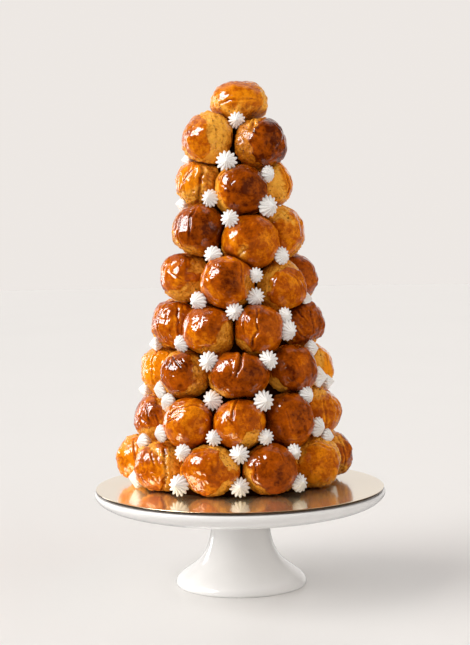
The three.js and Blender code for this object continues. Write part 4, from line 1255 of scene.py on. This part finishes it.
class CROQUEMBOUCHE_OT_core(Operator):
    """Fills the middle of the cone with a near-black body: painted shade seen through the gaps between the
    puffs
    """
    bl_idname = "croquembouche.core"
    bl_label = "Caramel Core"

    def execute(self, context):
        settings = context.scene.croquembouche_core
        depth = settings.depth / MM
        levels = BOARD_TOP + np.linspace(CLEARANCE, settings.height / MM, CORE_LEVELS)
        outline = [(0, levels[0]), *((shell_at(z)[0] - depth, z) for z in levels), (0, levels[-1])]
        points, faces = lathe(outline, CORE_SIDES)
        points = np.array(points) + [(shell_at(z)[1], CONE_BACK, 0) for x, y, z in points]
        add_piece("caramel_core", points, faces, shade_core_material(settings))
        return {"FINISHED"}


# A star from its base, in the gap, to its tip: (how far out, radius), both beside its size.
STAR_OUTLINE = ((-0.95, 0.3), (-0.7, 0.55), (-0.4, 0.78), (-0.15, 0.94), (0.0, 1.0), (0.1, 0.95),
                (0.22, 0.85), (0.36, 0.7), (0.5, 0.54), (0.63, 0.38), (0.75, 0.22), (0.84, 0.09),
                (0.9, 0.0))
RIDGE_SAMPLES = 8
SPREAD_SAMPLES = 12
STAR_LEAN = 2
BOARD_STAR_LEAN = 14
STAR_TURN_SPREAD = 14
STAR_LEAN_SPREAD = 16
# How sharp the ridges are by the tip and the base, and at the widest place, which reaches this far.
PLAIN_SHARPNESS, WIDEST_SHARPNESS = 0.75, 1.5
WIDEST_REACH = 0.12
FLARE_FADE = 0.7


def room_round(star, ways, settings):
    """How far the star reaches along each row of `ways`, until it sinks into a puff or the board."""
    near = [puff for puff in PUFF_LIST if np.linalg.norm(puff.middle - star.middle) < NEAR]
    room = np.full(len(ways), settings.least_spread)
    free = np.full(len(ways), True)
    for spread in np.linspace(settings.least_spread, settings.spread, SPREAD_SAMPLES):
        points = star.middle + ways * spread * star.size
        air = np.min([puff.air_at(points) for puff in near], axis=0)
        free &= (air > -settings.sunk / MM) & (points[:, 2] > BOARD_TOP + CLEARANCE)
        room = np.where(free, spread, room)
    blur = len(ways) // 20
    return np.mean([np.roll(room, shift) for shift in range(-blur, blur + 1)], axis=0)


def star_net(star, index, settings):
    """A piped star: ridges that swirl a little from the base in the gap to the tip in front."""
    lean = BOARD_STAR_LEAN if star.on_board else STAR_LEAN
    out = outward(star.place + STAR_TURN_SPREAD * (draw(index, 1) - 0.5),
                  lean + STAR_LEAN_SPREAD * (draw(index, 2) - 0.5))
    across = unit(np.cross(UP, out))
    rise = np.cross(out, across)
    around = settings.ridges * RIDGE_SAMPLES
    from_crest = np.arange(around) % RIDGE_SAMPLES * 2 / RIDGE_SAMPLES
    slope = np.clip(np.cos(math.pi / 2 * np.minimum(from_crest, 2 - from_crest)), 0, 1)
    plain_turns = math.tau * draw(index, 3) + np.arange(around) * math.tau / around
    ways = across * np.cos(plain_turns)[:, None] + rise * np.sin(plain_turns)[:, None]
    room = room_round(star, ways, settings)
    points = [star.middle + out * STAR_OUTLINE[0][0] * star.size]
    for level, radius in STAR_OUTLINE[:-1]:
        turns = plain_turns + settings.swirl * level
        shape = slope ** mix(PLAIN_SHARPNESS, WIDEST_SHARPNESS, fading(level, WIDEST_REACH))
        flare = mix(room, settings.least_spread, max(level, 0) ** FLARE_FADE)
        radii = flare * star.size * radius * mix(settings.valley, 1.0, shape)
        ring = across * (radii * np.cos(turns))[:, None] + rise * (radii * np.sin(turns))[:, None]
        points.extend(star.middle + out * level * star.size + ring)
    points.append(star.middle + out * STAR_OUTLINE[-1][0] * star.size)
    return np.array(points), net_faces(len(STAR_OUTLINE) - 1, around)


class CROQUEMBOUCHE_OT_stars(Operator):
    """Pipes the cream stars into the gaps, one piece for each ring of puffs"""
    bl_idname = "croquembouche.stars"
    bl_label = "Cream Stars"

    def execute(self, context):
        settings = context.scene.croquembouche_stars
        material = cream_material(settings)
        for ring in range(len(RINGS) + 1):
            points, faces, hosts = [], [], set()
            for index, star in enumerate(STAR_LIST):
                if star.host.ring != ring:
                    continue
                own_points, own_faces = star_net(star, index, settings)
                start = sum(len(part) for part in points)
                faces.extend(tuple(start + corner for corner in face) for face in own_faces)
                points.append(own_points)
                hosts.add(star.host.name)
            if points:
                name = f"cream_stars_{ring + 1}"
                piece = add_piece(name, np.concatenate(points), faces, material)
                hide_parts(*sorted(hosts))
        return {"FINISHED"}


FLOOR_SIDES = 128
FLOOR_RADIUS = 6.0
# Places and sizes of the lights in metres, from a point at half the cone's height.
LIT_HEIGHT = 0.22
WINDOW_AWAY = 1.4
PANE_SIZE = (0.34, 0.28)
PANE_STEP = (0.4, 0.34)
RIM_AWAY = 1.5
RIM_SIZE = (0.3, 0.9)
# The places where the room isn't as dim in gloss as its front: the setting that says how bright each is, and
# the edges that bound it (axis of the direction, where it starts, where it is full).
ROOM_ZONES = (
    ("backdrop", ("Y", 0.6, 0.95), ("Z", -0.3, 0.0)),
    ("ceiling", ("Z", 0.5, 0.8), ("Y", -0.1, 0.4)),
    ("mirrored_floor", ("Z", -0.1, -0.4), ("Y", 0.0, 0.5)),
    ("side_wall", ("X", 0.12, 0.18), ("Z", -0.35, -0.25), ("Z", 0.5, 0.42), ("Y", 0.5, 0.2)),
)


class CROQUEMBOUCHE_OT_stage(Operator):
    """Sets the floor, the room's light and the camera"""
    bl_idname = "croquembouche.stage"
    bl_label = "Stage"

    def execute(self, context):
        settings = context.scene.croquembouche_stage
        self.place_camera(context.scene, settings)
        floor = self.lay_floor(context.scene, settings)
        self.light_room(context.scene, settings)
        self.hang_lights(settings, floor)
        context.scene.view_settings.view_transform = "Standard"
        return {"FINISHED"}

    @staticmethod
    def place_camera(scene, settings):
        camera = bpy.data.objects.new("camera", bpy.data.cameras.new("camera"))
        camera.data.lens = settings.focal_length
        camera.data.sensor_width = 36
        camera.location = settings.camera_place
        camera.rotation_euler = (math.pi / 2 - settings.pitch, settings.roll, 0)
        scene.collection.objects.link(camera)
        scene.camera = camera

    @staticmethod
    def lay_floor(scene, settings):
        """A round pale floor, left out of reflections, where the room stands in for it."""
        material, tree = new_material("floor")
        cloud = place_group(tree, mottle_group(), Patch_Size=0.4, Roughness=0.5)
        duller = [0.97 * channel for channel in settings.floor_color]
        color = blend_colors(tree, cloud.outputs["Patches"], settings.floor_color, duller)
        surface(tree, {"Base Color": color, "Roughness": 0.35})
        mesh = bpy.data.meshes.new("floor")
        turns = [i * math.tau / FLOOR_SIDES for i in range(FLOOR_SIDES)]
        rim = [(FLOOR_RADIUS * math.cos(turn), FLOOR_RADIUS * math.sin(turn), 0) for turn in turns]
        mesh.from_pydata(rim, [], [tuple(range(FLOOR_SIDES))])
        mesh.materials.append(material)
        floor = bpy.data.objects.new("floor", mesh)
        scene.collection.objects.link(floor)
        floor.visible_glossy = False
        return floor

    def hang_lights(self, settings, floor):
        """Soft daylight and fill that leave no gloss, a window of six panes, and a strip for the rims."""
        self.add_light("daylight", "SUN", settings.daylight, unit(np.array(settings.daylight_from)),
                       angle=settings.daylight_angle, color=settings.daylight_color).visible_glossy = False
        self.add_light("fill", "SUN", settings.fill, unit(np.array(settings.fill_from)),
                       angle=settings.fill_angle, color=settings.fill_color).visible_glossy = False
        toward = unit(np.array(settings.window_from))
        across = unit(np.cross(UP, toward))
        rise = np.cross(toward, across)
        for column, row in itertools.product((-0.5, 0.5), (-1, 0, 1)):
            place = WINDOW_AWAY * toward + PANE_STEP[0] * column * across + PANE_STEP[1] * row * rise
            self.add_light("pane", "AREA", settings.window_power / 6, place, shape="RECTANGLE",
                           size=PANE_SIZE[0], size_y=PANE_SIZE[1]).visible_diffuse = False
        rim = self.add_light("rim", "AREA", settings.rim_power, RIM_AWAY * unit(np.array(settings.rim_from)),
                             shape="RECTANGLE", size=RIM_SIZE[0], size_y=RIM_SIZE[1])
        unlit = bpy.data.collections.new("unlit_by_rim")
        unlit.objects.link(floor)
        unlit.collection_objects[0].light_linking.link_state = "EXCLUDE"
        rim.light_linking.receiver_collection = unlit

    @staticmethod
    def add_light(name, kind, energy, place, **settings):
        """A light at a place about the middle of the cone, looking at it."""
        data = bpy.data.lights.new(name, kind)
        data.energy = energy
        for key, value in settings.items():
            setattr(data, key, value)
        light = bpy.data.objects.new(name, data)
        light.location = place + np.array((0, 0, LIT_HEIGHT))
        light.rotation_euler = Vector(place).to_track_quat("Z", "Y").to_euler()
        bpy.context.scene.collection.objects.link(light)
        return light

    @staticmethod
    def light_room(scene, settings):
        """A pale room that is dim in gloss, but for its back, its ceiling, its floor and one wall."""
        world = bpy.data.worlds.new("room")
        world.use_nodes = True
        tree = world.node_tree
        tree.nodes.clear()
        path = add_node(tree, "ShaderNodeLightPath")
        way = add_node(tree, "ShaderNodeTexCoord").outputs["Generated"]
        way = add_node(tree, "ShaderNodeSeparateXYZ", {0: way})
        mirrored = settings.mirrored_room
        for name, *edges in ROOM_ZONES:
            zone = 1.0
            for axis, start, full in edges:
                zone = calculate(tree, "MULTIPLY", zone, between(tree, way.outputs[axis], start, full))
            mirrored = mix_by(tree, zone, mirrored, getattr(settings, name))
        strength = mix_by(tree, path.outputs["Is Glossy Ray"], settings.sky, mirrored)
        strength = mix_by(tree, path.outputs["Is Camera Ray"], strength, settings.backdrop)
        # The last zone is the wall, which has a colour of its own.
        on_wall = calculate(tree, "MULTIPLY", zone, path.outputs["Is Glossy Ray"])
        color = blend_colors(tree, on_wall, settings.room_color, settings.wall_color)
        color = blend_colors(tree, path.outputs["Is Camera Ray"], color, settings.backdrop_color)
        background = add_node(tree, "ShaderNodeBackground", {"Color": color, "Strength": strength})
        add_node(tree, "ShaderNodeOutputWorld", {"Surface": background.outputs[0]})
        scene.world = world


class CROQUEMBOUCHE_PT_pieces(Panel):
    """Lists the pieces of the croquembouche with their sizes and colours"""
    bl_label = "Croquembouche"
    bl_space_type = "VIEW_3D"
    bl_region_type = "UI"
    bl_category = "Croquembouche"

    def draw(self, context):
        for piece in SETTINGS:
            box = self.layout.box()
            box.operator("croquembouche." + piece)
            settings = getattr(context.scene, "croquembouche_" + piece)
            for name in settings.__annotations__:
                box.prop(settings, name)


SETTINGS = {
    "stage": StageSettings,
    "stand": StandSettings,
    "board": BoardSettings,
    "core": ShadeCoreSettings,
    "puffs": ChouxSettings,
    "stars": CreamSettings,
}
CLASSES = (*SETTINGS.values(), CROQUEMBOUCHE_OT_stage, CROQUEMBOUCHE_OT_stand, CROQUEMBOUCHE_OT_board,
           CROQUEMBOUCHE_OT_core, CROQUEMBOUCHE_OT_puffs, CROQUEMBOUCHE_OT_stars, CROQUEMBOUCHE_PT_pieces)


def register():
    for cls in CLASSES:
        bpy.utils.register_class(cls)
    for piece, cls in SETTINGS.items():
        setattr(bpy.types.Scene, "croquembouche_" + piece, PointerProperty(type=cls))


def unregister():
    for piece in SETTINGS:
        delattr(bpy.types.Scene, "croquembouche_" + piece)
    for cls in reversed(CLASSES):
        bpy.utils.unregister_class(cls)


def main():
    register()
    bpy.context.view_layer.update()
    bpy.ops.croquembouche.stage()
    bpy.ops.croquembouche.stand()
    bpy.ops.croquembouche.board()
    bpy.ops.croquembouche.core()
    bpy.ops.croquembouche.puffs()
    bpy.ops.croquembouche.stars()


if __name__ == "__main__":
    main()
